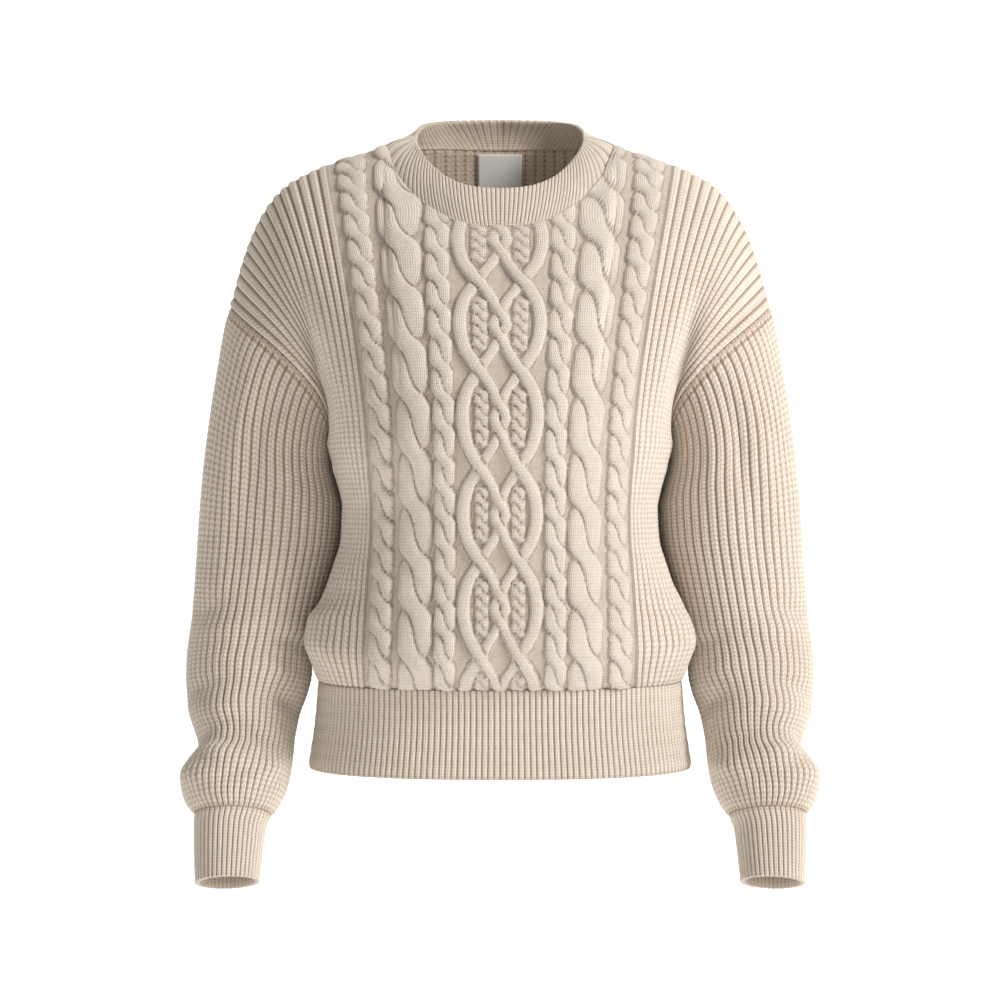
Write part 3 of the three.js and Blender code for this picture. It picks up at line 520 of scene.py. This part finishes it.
class Wall:
    """Collects points, faces and stitch values of one closed cloth wall: stitch coordinates, purl share and
    painted shade.
    """

    def __init__(self):
        self.points, self.faces, self.uv, self.purl, self.deep = [], [], [], [], []
        self.count = 0

    def add(self, net, u, v, purl, deep):
        rows, columns = net.shape[:2]
        index = self.count + np.arange(rows * columns).reshape(rows, columns)
        self.count += rows * columns
        self.points.append(net.reshape(-1, 3))
        shape = (rows, columns)
        self.uv.append(np.stack([np.broadcast_to(u, shape).ravel(), np.broadcast_to(v, shape).ravel()], -1))
        self.purl.append(np.broadcast_to(purl, shape).ravel())
        self.deep.append(np.broadcast_to(deep, shape).ravel())
        return index

    def net(self, index, wrap=False, inward=False):
        if wrap:
            index = np.concatenate([index, index[:, :1]], axis=1)
        a, b = index[:-1, :-1].ravel(), index[:-1, 1:].ravel()
        d, e = index[1:, 1:].ravel(), index[1:, :-1].ravel()
        quads = np.stack([a, e, d, b] if inward else [a, b, d, e], -1)
        self.faces.extend(quads.tolist())

    def zip(self, a, b, wrap=False):
        """Joins two edges that run the same way."""
        points = np.concatenate(self.points)
        if wrap:
            a, b = np.append(a, a[0]), np.append(b, b[0])
        shares = []
        for edge in (a, b):
            run = np.concatenate([[0], np.cumsum(np.linalg.norm(np.diff(points[edge], axis=0), axis=1))])
            shares.append(run / run[-1])
        i = j = 0
        while i < len(a) - 1 or j < len(b) - 1:
            if i < len(a) - 1 and (j == len(b) - 1 or shares[0][i + 1] <= shares[1][j + 1]):
                self.faces.append([int(a[i + 1]), int(a[i]), int(b[j])])
                i += 1
            else:
                self.faces.append([int(b[j]), int(b[j + 1]), int(a[i])])
                j += 1

    def close(self, outer, inner):
        """Joins the four edges of an open sheet's two faces."""
        self.zip(outer[0], inner[0])
        self.zip(outer[:, -1], inner[:, -1])
        self.zip(outer[-1][::-1], inner[-1][::-1])
        self.zip(outer[:, 0][::-1], inner[:, 0][::-1])

    def flip(self):
        self.faces = [face[::-1] for face in self.faces]

    def build(self, name, material):
        mesh = bpy.data.meshes.new(name)
        points = np.concatenate(self.points) * MM
        mesh.from_pydata(points.tolist(), [], self.faces)
        uv = np.concatenate(self.uv)
        loops = np.empty(len(mesh.loops), dtype=np.int32)
        mesh.loops.foreach_get("vertex_index", loops)
        layer = mesh.uv_layers.new(name="stitches")
        layer.data.foreach_set("uv", uv[loops].ravel().astype(np.float32))
        # deep carries the painted shade that the knit material reads
        for key, values in (("purl", self.purl), ("deep", self.deep)):
            attribute = mesh.attributes.new(key, "FLOAT", "POINT")
            attribute.data.foreach_set("value", np.concatenate(values).astype(np.float32))
        mesh.shade_smooth()
        mesh.materials.append(material)
        piece = bpy.data.objects.new(name, mesh)
        bpy.context.collection.objects.link(piece)
        return piece


# Soft folds of the body: place across and up the panel, reach each way, tilt, height
FRONT_FOLDS = [
    (-0.80, 1.30, 0.05, 0.20, -0.20, -2.6), (-0.70, 1.42, 0.05, 0.22, -0.22, 1.8),
    (0.79, 1.27, 0.05, 0.20, 0.20, -2.2), (0.68, 1.40, 0.05, 0.22, 0.22, 1.6),
    (-0.78, 0.34, 0.16, 0.05, 0.25, -1.6), (0.76, 0.30, 0.16, 0.05, -0.25, -1.8),
    (-0.66, 0.14, 0.10, 0.06, -0.1, 1.5), (0.62, 0.16, 0.10, 0.06, 0.1, 1.2),
    (0.0, 0.52, 0.40, 0.10, 0.05, -1.0), (-0.15, 0.12, 0.34, 0.06, -0.04, 1.4),
]
BACK_FOLDS = [
    (-0.72, 1.25, 0.06, 0.22, -0.25, -2.8), (0.70, 1.30, 0.06, 0.22, 0.25, -2.6),
    (-0.35, 0.42, 0.30, 0.05, 0.12, -2.2), (0.30, 0.55, 0.30, 0.05, -0.12, -2.4),
    (0.05, 0.30, 0.34, 0.05, 0.06, 2.2), (-0.10, 1.62, 0.26, 0.08, 0.0, -1.4),
    (-0.66, 0.18, 0.16, 0.05, -0.15, 2.0), (0.64, 0.20, 0.16, 0.05, 0.15, 2.2),
]


def body_folds(q, h, is_front):
    """Height of the soft folds over one panel; none at its edges."""
    total = 0.0 * q
    for across, up, wide, tall, tilt, height in FRONT_FOLDS if is_front else BACK_FOLDS:
        x, y = (q - across - tilt * (h - up)) / wide, (h - up - tilt * 0.4 * (q - across)) / tall
        total = total + height * np.exp(-x * x - y * y)
    inside = smooth(h, 0, 0.08) * (1 - smooth(h, 1.86, 1.97)) * (1 - smooth(np.abs(q), 0.88, 0.98))
    return BODY_FOLD_GAIN * total * inside


def panel_wall(name, is_front, q, h, material):
    net = body_points(q, h, is_front)
    normal = net_normals(net, flip=not is_front)
    run = run_of(net)
    level = int(np.argmin(np.abs(h - 1)))
    t = np.where(h[:, None] < 1, (ARMPIT_Z - HEM_TOP_Z) * (h[:, None] - 1), run - run[level])
    q_grid = np.broadcast_to(q[None, :], t.shape)
    if is_front:
        raised, u, v, purl, deep = front_relief(q_grid, t)
        raised = raised * (1 - 0.35 * smooth(h[:, None], 1.72, 1.98) * (np.abs(q_grid) < CABLE_SHARE))
    else:
        u, v = q_grid * BACK_RIBS, t / RIB_COURSE
        raised = wale_height(u, v, RIB_RISE, 0.35, 0.3)
        # painted shade, darker down in the valleys of the back's ribs
        purl, deep = 0 * raised, np.clip(1 - raised / 2.1, 0, 1)
    # the relief is lower at the upper seams and at the hem, and fades out in the armpit
    ease = 1 - 0.55 * smooth(h, 1.985, 2.0)[:, None]
    ease = ease * (0.55 + 0.45 * smooth(h, 0.0, 0.02)[:, None])
    pit = smooth(np.abs(q_grid), 0.86, 0.95) * np.exp(-((h[:, None] - 1.08) / 0.24) ** 4)
    raised = raised * ease * (1 - pit)
    edge = (1 - np.abs(q_grid)) * SEAM_SPAN * (1 + 0.35 * smooth(h[:, None], 1, 1.6))
    above_armpit = smooth(h[:, None], 1.02, 1.06)
    twist = 0.5 * np.cos(2 * math.pi * t / 5)
    raised, chain, groove = add_seam_chain(raised, edge, above_armpit, 1.7, twist)
    # painted shade: lighter on the seam chain and darker in the groove beside it
    deep = np.clip(deep * (1 - 0.7 * chain) + 0.5 * groove, 0, 1)
    net = net + normal * body_folds(q_grid, h[:, None], is_front)[..., None]
    net_out = net + normal * raised[..., None]
    # the lower edge stops just short of the hem seam
    net_out[0, :, 2] += SEAM_GAP
    wall = Wall()
    outer = wall.add(net_out, u, v, purl, deep)
    # the inner face is a coarser net, with the backs of the ribs raised a little on the back
    rows = np.unique(np.append(np.arange(0, len(h), 3), len(h) - 1))
    columns = np.unique(np.append(np.arange(0, len(q), 2), len(q) - 1))
    kept = np.ix_(rows, columns)
    inner_net = (net - normal * WALL)[kept]
    inner_u, inner_v = u[kept], v[kept]
    if not is_front:
        inner_rise = 0.9 * (0.5 + 0.5 * np.cos(2 * math.pi * inner_u))
        inner_net = inner_net - normal[kept] * inner_rise[..., None]
    # painted shade on the inner face: even on the front, darker in the rib valleys on the back
    inner_deep = 0.55 if is_front else 0.40 + 0.40 * (0.5 - 0.5 * np.cos(2 * math.pi * inner_u))
    inner = wall.add(inner_net, inner_u, inner_v, 0.35, inner_deep)
    wall.net(outer)
    wall.net(inner, inward=True)
    wall.close(outer, inner)
    if not is_front:
        wall.flip()
    return wall.build(name, material)


def tube_wall(name, net, u, v, raised, deep, material, inner_rise, mirror=False, link=None):
    """Closed wall round a tube; the first row is the lower edge and columns run once round."""
    normal = net_normals(net, wrap=True)
    wall = Wall()
    outer_net = net + normal * raised[..., None]
    inner_net = net - normal * (WALL + inner_rise * (0.5 + 0.5 * np.cos(2 * math.pi * u)))[..., None]
    if link is not None:
        inner_net = inner_net - normal * link[:, None, None]
    rows = np.unique(np.append(np.arange(0, len(net), 4 if link is None else 2), len(net) - 1))
    inner_net = inner_net[rows][:, ::2]
    if mirror:
        outer_net[..., 0] *= -1
        inner_net[..., 0] *= -1
    outer = wall.add(outer_net, u, v, 0.0, deep)
    inner_u = u[rows][:, ::2]
    # painted shade on the inner face, darker in its rib valleys
    inner_deep = 0.20 + 0.60 * (0.5 - 0.5 * np.cos(2 * math.pi * inner_u))
    inner = wall.add(inner_net, inner_u, v[rows][:, ::2], 0.2, inner_deep)
    wall.net(outer, wrap=True)
    wall.net(inner, wrap=True, inward=True)
    wall.zip(outer[0], inner[0], wrap=True)
    wall.zip(outer[-1][::-1], inner[-1][::-1], wrap=True)
    if mirror:
        wall.flip()
    return wall.build(name, material)


def run_of(net):
    step = np.linalg.norm(np.diff(net, axis=0), axis=2)
    return np.concatenate([np.zeros((1, net.shape[1])), np.cumsum(step, axis=0)])


def sleeve_wall(name, side, low, high, ribs, columns_per_rib, rows, rise, leg, course, material):
    turn = np.arange(ribs * columns_per_rib) / (ribs * columns_per_rib)
    along = np.linspace(high, low, rows)
    net = sleeve_points(turn, along)
    net = sleeve_folds(net, turn, along)
    u = np.broadcast_to(turn[None, :] * ribs, net.shape[:2])
    v = np.broadcast_to(np.mean(run_of(net), axis=1)[:, None] / course, net.shape[:2])
    raised = wale_height(u, v, rise, leg, 0.6 * leg)
    groove = 0.0
    if low == 0:
        raised = raised * (0.25 + 0.75 * smooth(along, 0, 5)[:, None])
        twist = 0.3 * np.cos(turn * ribs * 4 * math.pi)
        raised, _, groove = add_seam_chain(raised, along[:, None] - 0.4, 1.0, 1.3, twist)
    if high == CUFF_TOP or low == CUFF_TOP:
        raised = raised * (0.4 + 0.6 * smooth(np.abs(along - CUFF_TOP), 0, 4)[:, None])
    # painted shade, darker down in the rib valleys and in the groove beside the armhole seam
    deep = np.clip(1 - raised / (0.92 * rise) + 0.4 * groove, 0, 1)
    return tube_wall(name, net, u, v, raised, deep, material, inner_rise=0.5, mirror=side < 0)


# Soft folds of a sleeve: turn, distance down the sleeve, reach each way, tilt, height
SLEEVE_FOLDS = [
    (0.27, 70, 0.020, 42, 0.10, -3.4), (0.33, 74, 0.022, 40, 0.10, 1.6), (0.20, 60, 0.022, 46, 0.05, 1.2),
    (0.30, 150, 0.030, 40, -0.05, -1.8), (0.38, 205, 0.07, 12, 90, -2.2), (0.30, 222, 0.07, 10, 70, 1.6),
    (0.13, 236, 0.08, 9, -90, -2.4), (0.18, 262, 0.09, 9, -80, 2.4), (0.36, 278, 0.09, 9, 60, -2.8),
    (0.10, 290, 0.07, 8, -60, -2.6), (0.30, 300, 0.08, 9, 60, 2.6), (0.44, 320, 0.08, 8, 40, -3.4),
    (0.20, 322, 0.08, 7, -80, -3.0), (0.30, 336, 0.07, 7, -40, 2.8), (0.12, 346, 0.06, 7, 40, 2.6),
    (0.40, 350, 0.07, 8, -30, 3.0), (0.22, 354, 0.06, 6, 50, -2.4), (0.64, 60, 0.03, 44, 0.06, -2.6),
    (0.70, 140, 0.04, 40, 0.0, -2.0), (0.66, 240, 0.08, 10, 70, -2.6), (0.78, 262, 0.09, 9, -60, 2.4),
    (0.86, 286, 0.08, 9, 60, -2.6), (0.62, 302, 0.08, 9, -40, 2.6), (0.72, 322, 0.08, 8, 50, -3.0),
    (0.84, 340, 0.08, 7, -40, 2.8), (0.60, 346, 0.07, 8, 30, -2.4), (0.97, 250, 0.06, 12, 40, -1.6),
]


def sleeve_folds(net, turn, along):
    """Pushes the plain sleeve in and out by its folds; none at its seams."""
    normal = net_normals(net, wrap=True)
    x, y = turn[None, :], along[:, None]
    total = np.zeros(net.shape[:2])
    for around, down, wide, tall, tilt, height in SLEEVE_FOLDS:
        # a fold that runs down the sleeve leans round it, one that runs round it slopes down it
        runs_down = abs(tilt) < 1
        off = x - around - (tilt * (y - down) / 400 if runs_down else 0)
        off = off - np.round(off)
        below = y - down - (0 if runs_down else tilt * off)
        total += height * np.exp(-(off / wide) ** 2 - (below / tall) ** 2)
    total *= SLEEVE_FOLD_GAIN * smooth(y, 6, 30) * (1 - smooth(y, 362, 374)) * (y < CUFF_TOP)
    return net + normal * total[..., None]


# Materials

def new_material(name):
    material = bpy.data.materials.new(name)
    material.use_nodes = True
    tree = material.node_tree
    tree.nodes.clear()
    return material, tree


def math_node(tree, operation, a, b=None, c=None):
    node = tree.nodes.new("ShaderNodeMath")
    node.operation = operation
    for slot, value in enumerate((a, b, c)):
        if value is None:
            continue
        if isinstance(value, (int, float)):
            node.inputs[slot].default_value = value
        else:
            tree.links.new(value, node.inputs[slot])
    return node.outputs[0]


def ramp(tree, factor, low, high):
    node = tree.nodes.new("ShaderNodeMix")
    node.data_type = "RGBA"
    tree.links.new(factor, node.inputs["Factor"])
    for socket, colour in ((node.inputs[6], low), (node.inputs[7], high)):
        if isinstance(colour, tuple):
            socket.default_value = (*colour, 1)
        else:
            tree.links.new(colour, socket)
    return node.outputs[2]


def noise(tree, coordinates, scale, detail):
    node = tree.nodes.new("ShaderNodeTexNoise")
    node.inputs["Scale"].default_value = scale
    node.inputs["Detail"].default_value = detail
    tree.links.new(coordinates.outputs["Object"], node.inputs["Vector"])
    return node.outputs["Fac"]


def point_value(tree, name):
    node = tree.nodes.new("ShaderNodeAttribute")
    node.attribute_name = name
    return node.outputs["Fac"]


def knit_material(name, light, shade, bump=0.55):
    material, tree = new_material(name)
    link = tree.links.new
    output = tree.nodes.new("ShaderNodeOutputMaterial")
    shader = tree.nodes.new("ShaderNodeBsdfPrincipled")
    link(shader.outputs[0], output.inputs[0])
    shader.inputs["Specular IOR Level"].default_value = 0.18
    shader.inputs["Sheen Weight"].default_value = 0.22
    shader.inputs["Sheen Roughness"].default_value = 0.55
    shader.inputs["Sheen Tint"].default_value = (1.0, 0.95, 0.88, 1)
    uv = tree.nodes.new("ShaderNodeUVMap")
    uv.uv_map = "stitches"
    split = tree.nodes.new("ShaderNodeSeparateXYZ")
    link(uv.outputs[0], split.inputs[0])
    u, v = split.outputs[0], split.outputs[1]
    coordinates = tree.nodes.new("ShaderNodeTexCoord")
    purl, deep = point_value(tree, "purl"), point_value(tree, "deep")
    # V stitches: two legs to each wale, meeting at its middle
    a = math_node(tree, "ABSOLUTE", math_node(tree, "SUBTRACT", math_node(tree, "FRACT", u), 0.5))
    leg = math_node(tree, "MULTIPLY", math_node(tree, "SUBTRACT", a, 0.25), 4.0)
    across = math_node(tree, "SUBTRACT", 1.0, math_node(tree, "MULTIPLY", leg, leg))
    wave = math_node(tree, "MULTIPLY_ADD", a, 1.15, v)
    wave = math_node(tree, "ABSOLUTE", math_node(tree, "SINE", math_node(tree, "MULTIPLY", wave, math.pi)))
    stitches = math_node(tree, "MULTIPLY", math_node(tree, "POWER", wave, 0.7), across)
    # purl bumps: short level arcs, every other row shifted by half
    row = math_node(tree, "MULTIPLY", v, 1.5)
    shift = math_node(tree, "MULTIPLY", math_node(tree, "FLOOR", row), 0.5)
    arc = math_node(tree, "SINE", math_node(tree, "MULTIPLY", math_node(tree, "FRACT", row), math.pi))
    along = math_node(tree, "MULTIPLY_ADD", u, 1.6, shift)
    hump = math_node(tree, "SINE", math_node(tree, "MULTIPLY", along, 2 * math.pi))
    bumps = math_node(tree, "MULTIPLY", arc, math_node(tree, "MULTIPLY_ADD", hump, 0.45, 0.55))
    mixed = tree.nodes.new("ShaderNodeMix")
    mixed.data_type = "FLOAT"
    link(purl, mixed.inputs["Factor"])
    link(stitches, mixed.inputs[2])
    link(bumps, mixed.inputs[3])
    stitch_height = mixed.outputs[0]
    # fine noise of the fibres, a slower unevenness of the yarn, and broad patches of the cloth
    fibre = noise(tree, coordinates, 1400, 4)
    yarn = noise(tree, coordinates, 220, 2)
    cloth = noise(tree, coordinates, 14, 3)
    height = math_node(tree, "MULTIPLY_ADD", fibre, 0.35, stitch_height)
    height = math_node(tree, "MULTIPLY_ADD", yarn, 0.25, height)
    bump_node = tree.nodes.new("ShaderNodeBump")
    bump_node.inputs["Strength"].default_value = bump
    bump_node.inputs["Distance"].default_value = 0.0006
    link(height, bump_node.inputs["Height"])
    link(bump_node.outputs[0], shader.inputs["Normal"])
    # colour: painted shade, darker and warmer between stitches and down in the valleys; the yarn's own
    # uneven tone and broad patches are added to it
    stitch_shade = math_node(tree, "SUBTRACT", 1.0, stitch_height)
    stitch_shade = math_node(tree, "POWER", math_node(tree, "MAXIMUM", stitch_shade, 0.0), 1.5)
    stitch_shade = math_node(tree, "MULTIPLY", stitch_shade, 0.42)
    # painted shade in the valleys: dark dots, stronger where the point value deep is high
    dots = math_node(tree, "COSINE", math_node(tree, "MULTIPLY", v, 2 * math.pi))
    dots = math_node(tree, "MULTIPLY", math_node(tree, "POWER", deep, 2.0),
                     math_node(tree, "MULTIPLY_ADD", dots, 0.16, 0.16))
    stitch_shade = math_node(tree, "ADD", stitch_shade, dots)
    # painted shade of the valleys (the point value deep) added to the painted shade between the stitches
    painted_shade = math_node(tree, "MULTIPLY_ADD", deep, 0.62, stitch_shade)
    shade_and_tone = math_node(tree, "MULTIPLY_ADD", math_node(tree, "SUBTRACT", cloth, 0.5), 0.25, painted_shade)
    shade_and_tone = math_node(tree, "MULTIPLY_ADD", math_node(tree, "SUBTRACT", yarn, 0.5), 0.30, shade_and_tone)
    shade_and_tone = math_node(tree, "MINIMUM", math_node(tree, "MAXIMUM", shade_and_tone, 0.0), 1.0)
    link(ramp(tree, shade_and_tone, light, shade), shader.inputs["Base Color"])
    rough = math_node(tree, "MULTIPLY_ADD", fibre, 0.12, 0.86)
    link(rough, shader.inputs["Roughness"])
    return material


LIGHT = (0.745, 0.672, 0.588)
SHADE = (0.29, 0.195, 0.125)
BAND_SHADE = (0.34, 0.25, 0.175)
LABEL_DARK = (0.70, 0.685, 0.665)
LABEL_LIGHT = (0.80, 0.785, 0.765)
cable_knit = knit_material("cable_knit", LIGHT, SHADE, bump=0.8)
rib_knit = knit_material("rib_knit", LIGHT, SHADE)
band_knit = knit_material("band_knit", LIGHT, BAND_SHADE)


def label_material():
    material, tree = new_material("label_tape")
    link = tree.links.new
    output = tree.nodes.new("ShaderNodeOutputMaterial")
    shader = tree.nodes.new("ShaderNodeBsdfPrincipled")
    link(shader.outputs[0], output.inputs[0])
    shader.inputs["Roughness"].default_value = 0.5
    shader.inputs["Sheen Weight"].default_value = 0.15
    coordinates = tree.nodes.new("ShaderNodeTexCoord")
    wave = tree.nodes.new("ShaderNodeTexWave")
    wave.bands_direction = "Z"
    wave.inputs["Scale"].default_value = 900
    wave.inputs["Distortion"].default_value = 0.6
    link(coordinates.outputs["Object"], wave.inputs["Vector"])
    bump_node = tree.nodes.new("ShaderNodeBump")
    bump_node.inputs["Strength"].default_value = 0.25
    bump_node.inputs["Distance"].default_value = 0.0001
    link(wave.outputs["Fac"], bump_node.inputs["Height"])
    link(bump_node.outputs[0], shader.inputs["Normal"])
    link(ramp(tree, wave.outputs["Fac"], LABEL_DARK, LABEL_LIGHT), shader.inputs["Base Color"])
    return material


# Columns: close together over the cables, four to each side rib and to each back rib
cable_columns = 96
inside = np.linspace(0, CABLE_SHARE, cable_columns + 1)
beyond = np.linspace(CABLE_SHARE, 1, SIDE_RIBS * 4 + 1)[1:]
half_columns = np.concatenate([inside, beyond])
front_q = np.concatenate([-half_columns[::-1][:-1], half_columns])
front_h = np.concatenate([np.linspace(0, 1, 110)[:-1], np.linspace(1, 2, 153)])
back_q = np.linspace(-1, 1, BACK_RIBS * 2 * 4 + 1)
back_h = np.concatenate([np.linspace(0, 1, 80)[:-1], np.linspace(1, 2, 110)])

front = panel_wall("front_cloth", True, front_q, front_h, cable_knit)
back = panel_wall("back_cloth", False, back_q, back_h, rib_knit)

sleeves, cuffs = {}, {}
for side, word in ((-1, "left"), (1, "right")):
    sleeves[word] = sleeve_wall("sleeve_cloth_" + word, side, low=0, high=CUFF_TOP, ribs=SLEEVE_RIBS,
                                columns_per_rib=6, rows=300, rise=2.4, leg=0.8, course=RIB_COURSE,
                                material=rib_knit)
    cuffs[word] = sleeve_wall("cuff_cloth_" + word, side, low=CUFF_TOP, high=CUFF_END, ribs=CUFF_RIBS,
                              columns_per_rib=8, rows=44, rise=1.9, leg=0.4, course=BAND_COURSE,
                              material=band_knit)


def hem_wall():
    columns = HEM_RIBS * 6
    turn = np.arange(columns) / columns
    quarter_turn = turn * 4
    is_front = (quarter_turn < 1) | (quarter_turn > 3)
    q_right = np.where(quarter_turn < 1, quarter_turn, 2 - quarter_turn)
    q = np.where(quarter_turn > 3, quarter_turn - 4, q_right)
    rows = []
    for z in np.linspace(HEM_BOTTOM_Z, HEM_TOP_Z - SEAM_GAP, 36):
        front_row, back_row = level_row(z, q, True, even=True), level_row(z, q, False, even=True)
        rows.append(np.where(is_front[:, None], front_row, back_row))
    net = np.array(rows)
    u = np.broadcast_to(turn[None, :] * HEM_RIBS, net.shape[:2])
    v = np.broadcast_to(net[..., 2] / BAND_COURSE, net.shape[:2])
    raised = wale_height(u, v, 1.9, 0.4, 0.3)
    edge = smooth(np.minimum(net[..., 2] - HEM_BOTTOM_Z, 4) / 4, 0, 1)
    raised = raised * (0.5 + 0.5 * edge)
    # painted shade, darker down in the rib valleys
    deep = np.clip(1 - raised / 1.8, 0, 1)
    return tube_wall("hem_cloth", net, u, v, raised, deep, band_knit, inner_rise=0.5)


def neck_wall():
    columns = NECK_RIBS * 6
    place = np.arange(columns) / columns
    turn = np.where(place < 0.5, place * 2, -(1 - place) * 2)
    rise = np.concatenate([np.linspace(-0.015, 0.1, 7), np.linspace(0.15, 1, 18)])
    net = neck_points(turn, rise)
    u = np.broadcast_to(place[None, :] * NECK_RIBS, net.shape[:2])
    v = np.broadcast_to(run_of(net) / BAND_COURSE, net.shape[:2])
    raised = wale_height(u, v, 1.5, 0.3, 0.2)
    # the row where the band is linked on: a small ridge outside and a larger one inside
    joint = np.exp(-((rise - 0.035) / 0.03) ** 2)
    raised = raised * (1 - 0.6 * joint[:, None]) + 0.5 * joint[:, None]
    # painted shade, darker down in the rib valleys
    deep = 0.75 * np.clip(1 - raised / 1.5, 0, 1)
    return tube_wall("neck_cloth", net, u, v, raised, deep, band_knit, inner_rise=0.9,
                     link=1.3 * joint)


hem = hem_wall()
neck = neck_wall()


LABEL_HALF_WIDTH = 20
LABEL_HEIGHT = 45
LABEL_HALF_THICKNESS = 0.35
LABEL_CLEARANCE = 2.9
LABEL_CURL = 0.5
LABEL_STEPS = 24


def label_wall():
    low, high = (np.array(v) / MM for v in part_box("label"))
    h = np.linspace(1.6, 2, 400)
    cloth = body_points([0.0], h, False)[:, 0]
    z = np.linspace(low[2], high[2], LABEL_STEPS)
    x = np.linspace(-LABEL_HALF_WIDTH, LABEL_HALF_WIDTH, LABEL_STEPS)
    depth = np.interp(z, cloth[:, 2], cloth[:, 1]) - WALL - LABEL_CLEARANCE
    net = np.stack(np.broadcast_arrays(x[None, :], depth[:, None], z[:, None]), -1).astype(float)
    wave = np.cos(x / LABEL_HALF_WIDTH * math.pi)[None, :]
    net[..., 1] -= LABEL_CURL * wave * ((high[2] - z) / LABEL_HEIGHT)[:, None]
    half_thickness = np.array([0, LABEL_HALF_THICKNESS, 0])
    wall = Wall()
    near = wall.add(net - half_thickness, 0.0, 0.0, 0.0, 0.0)
    far = wall.add(net + half_thickness, 0.0, 0.0, 0.0, 0.0)
    wall.net(near)
    wall.net(far, inward=True)
    wall.close(near, far)
    return wall.build("label_tape", label_material())


label = label_wall()

pieces = [
    (front, "front", "cable_knit", (0.48, 0.60), "neck_cloth"),
    (back, "back", "rib_knit", (0.48, 0.62), "neck_cloth"),
    (sleeves["left"], "sleeve_left", "sleeve_knit", (0.38, 0.44), "front_cloth"),
    (sleeves["right"], "sleeve_right", "sleeve_knit", (0.38, 0.44), "front_cloth"),
    (cuffs["left"], "cuff_left", "cuff_rib", (0.19, 0.062), "sleeve_cloth_left"),
    (cuffs["right"], "cuff_right", "cuff_rib", (0.19, 0.062), "sleeve_cloth_right"),
    (hem, "hem_band", "hem_rib", (0.90, 0.078), "front_cloth"),
    (neck, "neckband", "neck_rib", (0.50, 0.035), "front_cloth"),
    (label, "label", "label_tape", (0.040, 0.045), "back_cloth"),
]
for piece, node, slot, flat, holder in pieces:
    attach(piece, "root")
    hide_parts(node)

# Studio, in metres: pale floor, soft light from the front and the viewer's right
FLOOR_Z = -0.9
FLOOR_HALF_WIDTH = 6
FLOOR_FRONT_Y = -6
FLOOR_STEPS = 24
SWEEP_Y = 1.0
SWEEP_RADIUS = 2.5
SWEEP_STEPS = 16
BACKDROP_TOP_Z = 6.0
CAMERA_DISTANCE = 2.05
CAMERA_Z = -0.308
PICTURE_WIDTH = 0.88
SENSOR_WIDTH = 36


def area_light(name, place, target, size, power, colour=(1, 1, 1)):
    data = bpy.data.lights.new(name, "AREA")
    data.shape = "DISK"
    data.size = size
    data.energy = power
    data.color = colour
    light = bpy.data.objects.new(name, data)
    bpy.context.collection.objects.link(light)
    light.location = place
    light.rotation_euler = (Vector(target) - Vector(place)).to_track_quat("-Z", "Y").to_euler()
    return light


def make_floor():
    mesh = bpy.data.meshes.new("floor")
    rows = []
    for i in range(FLOOR_STEPS + 1):
        rows.append((FLOOR_FRONT_Y + (SWEEP_Y - FLOOR_FRONT_Y) * i / FLOOR_STEPS, FLOOR_Z))
    for i in range(1, SWEEP_STEPS + 1):
        turn = i / SWEEP_STEPS * math.pi / 2
        rows.append((SWEEP_Y + SWEEP_RADIUS * math.sin(turn), FLOOR_Z + SWEEP_RADIUS * (1 - math.cos(turn))))
    rows.append((SWEEP_Y + SWEEP_RADIUS, BACKDROP_TOP_Z))
    points = [(x, y, z) for y, z in rows for x in (-FLOOR_HALF_WIDTH, FLOOR_HALF_WIDTH)]
    faces = [(2 * i, 2 * i + 1, 2 * i + 3, 2 * i + 2) for i in range(len(rows) - 1)]
    mesh.from_pydata(points, [], faces)
    mesh.shade_smooth()
    material, tree = new_material("floor_paint")
    output = tree.nodes.new("ShaderNodeOutputMaterial")
    shader = tree.nodes.new("ShaderNodeBsdfPrincipled")
    tree.links.new(shader.outputs[0], output.inputs[0])
    shader.inputs["Base Color"].default_value = (0.93, 0.93, 0.93, 1)
    shader.inputs["Roughness"].default_value = 0.9
    shader.inputs["Emission Color"].default_value = (1, 1, 1, 1)
    shader.inputs["Emission Strength"].default_value = 0.55
    mesh.materials.append(material)
    floor = bpy.data.objects.new("floor", mesh)
    bpy.context.collection.objects.link(floor)
    return floor


make_floor()
area_light("key", place=(2.3, -1.5, 1.35), target=(0, 0, -0.25), size=1.1, power=88,
           colour=(1.0, 0.985, 0.965))
area_light("fill", place=(-1.0, -2.7, 0.8), target=(0, 0, -0.3), size=2.2, power=4,
           colour=(1.0, 0.96, 0.92))
area_light("top", place=(0.3, 0.3, 2.2), target=(0, 0, -0.2), size=1.8, power=14)

world = bpy.data.worlds.new("studio")
world.use_nodes = True
background = world.node_tree.nodes["Background"]
background.inputs["Color"].default_value = (1, 0.965, 0.915, 1)
background.inputs["Strength"].default_value = 0.30
bpy.context.scene.world = world
bpy.context.scene.view_settings.view_transform = "Standard"

camera_data = bpy.data.cameras.new("camera")
camera_data.sensor_width = SENSOR_WIDTH
camera_data.lens = SENSOR_WIDTH * CAMERA_DISTANCE / PICTURE_WIDTH
camera = bpy.data.objects.new("camera", camera_data)
bpy.context.collection.objects.link(camera)
camera.location = (0, -CAMERA_DISTANCE, CAMERA_Z)
camera.rotation_euler = (math.radians(90), 0, 0)
bpy.context.scene.camera = camera
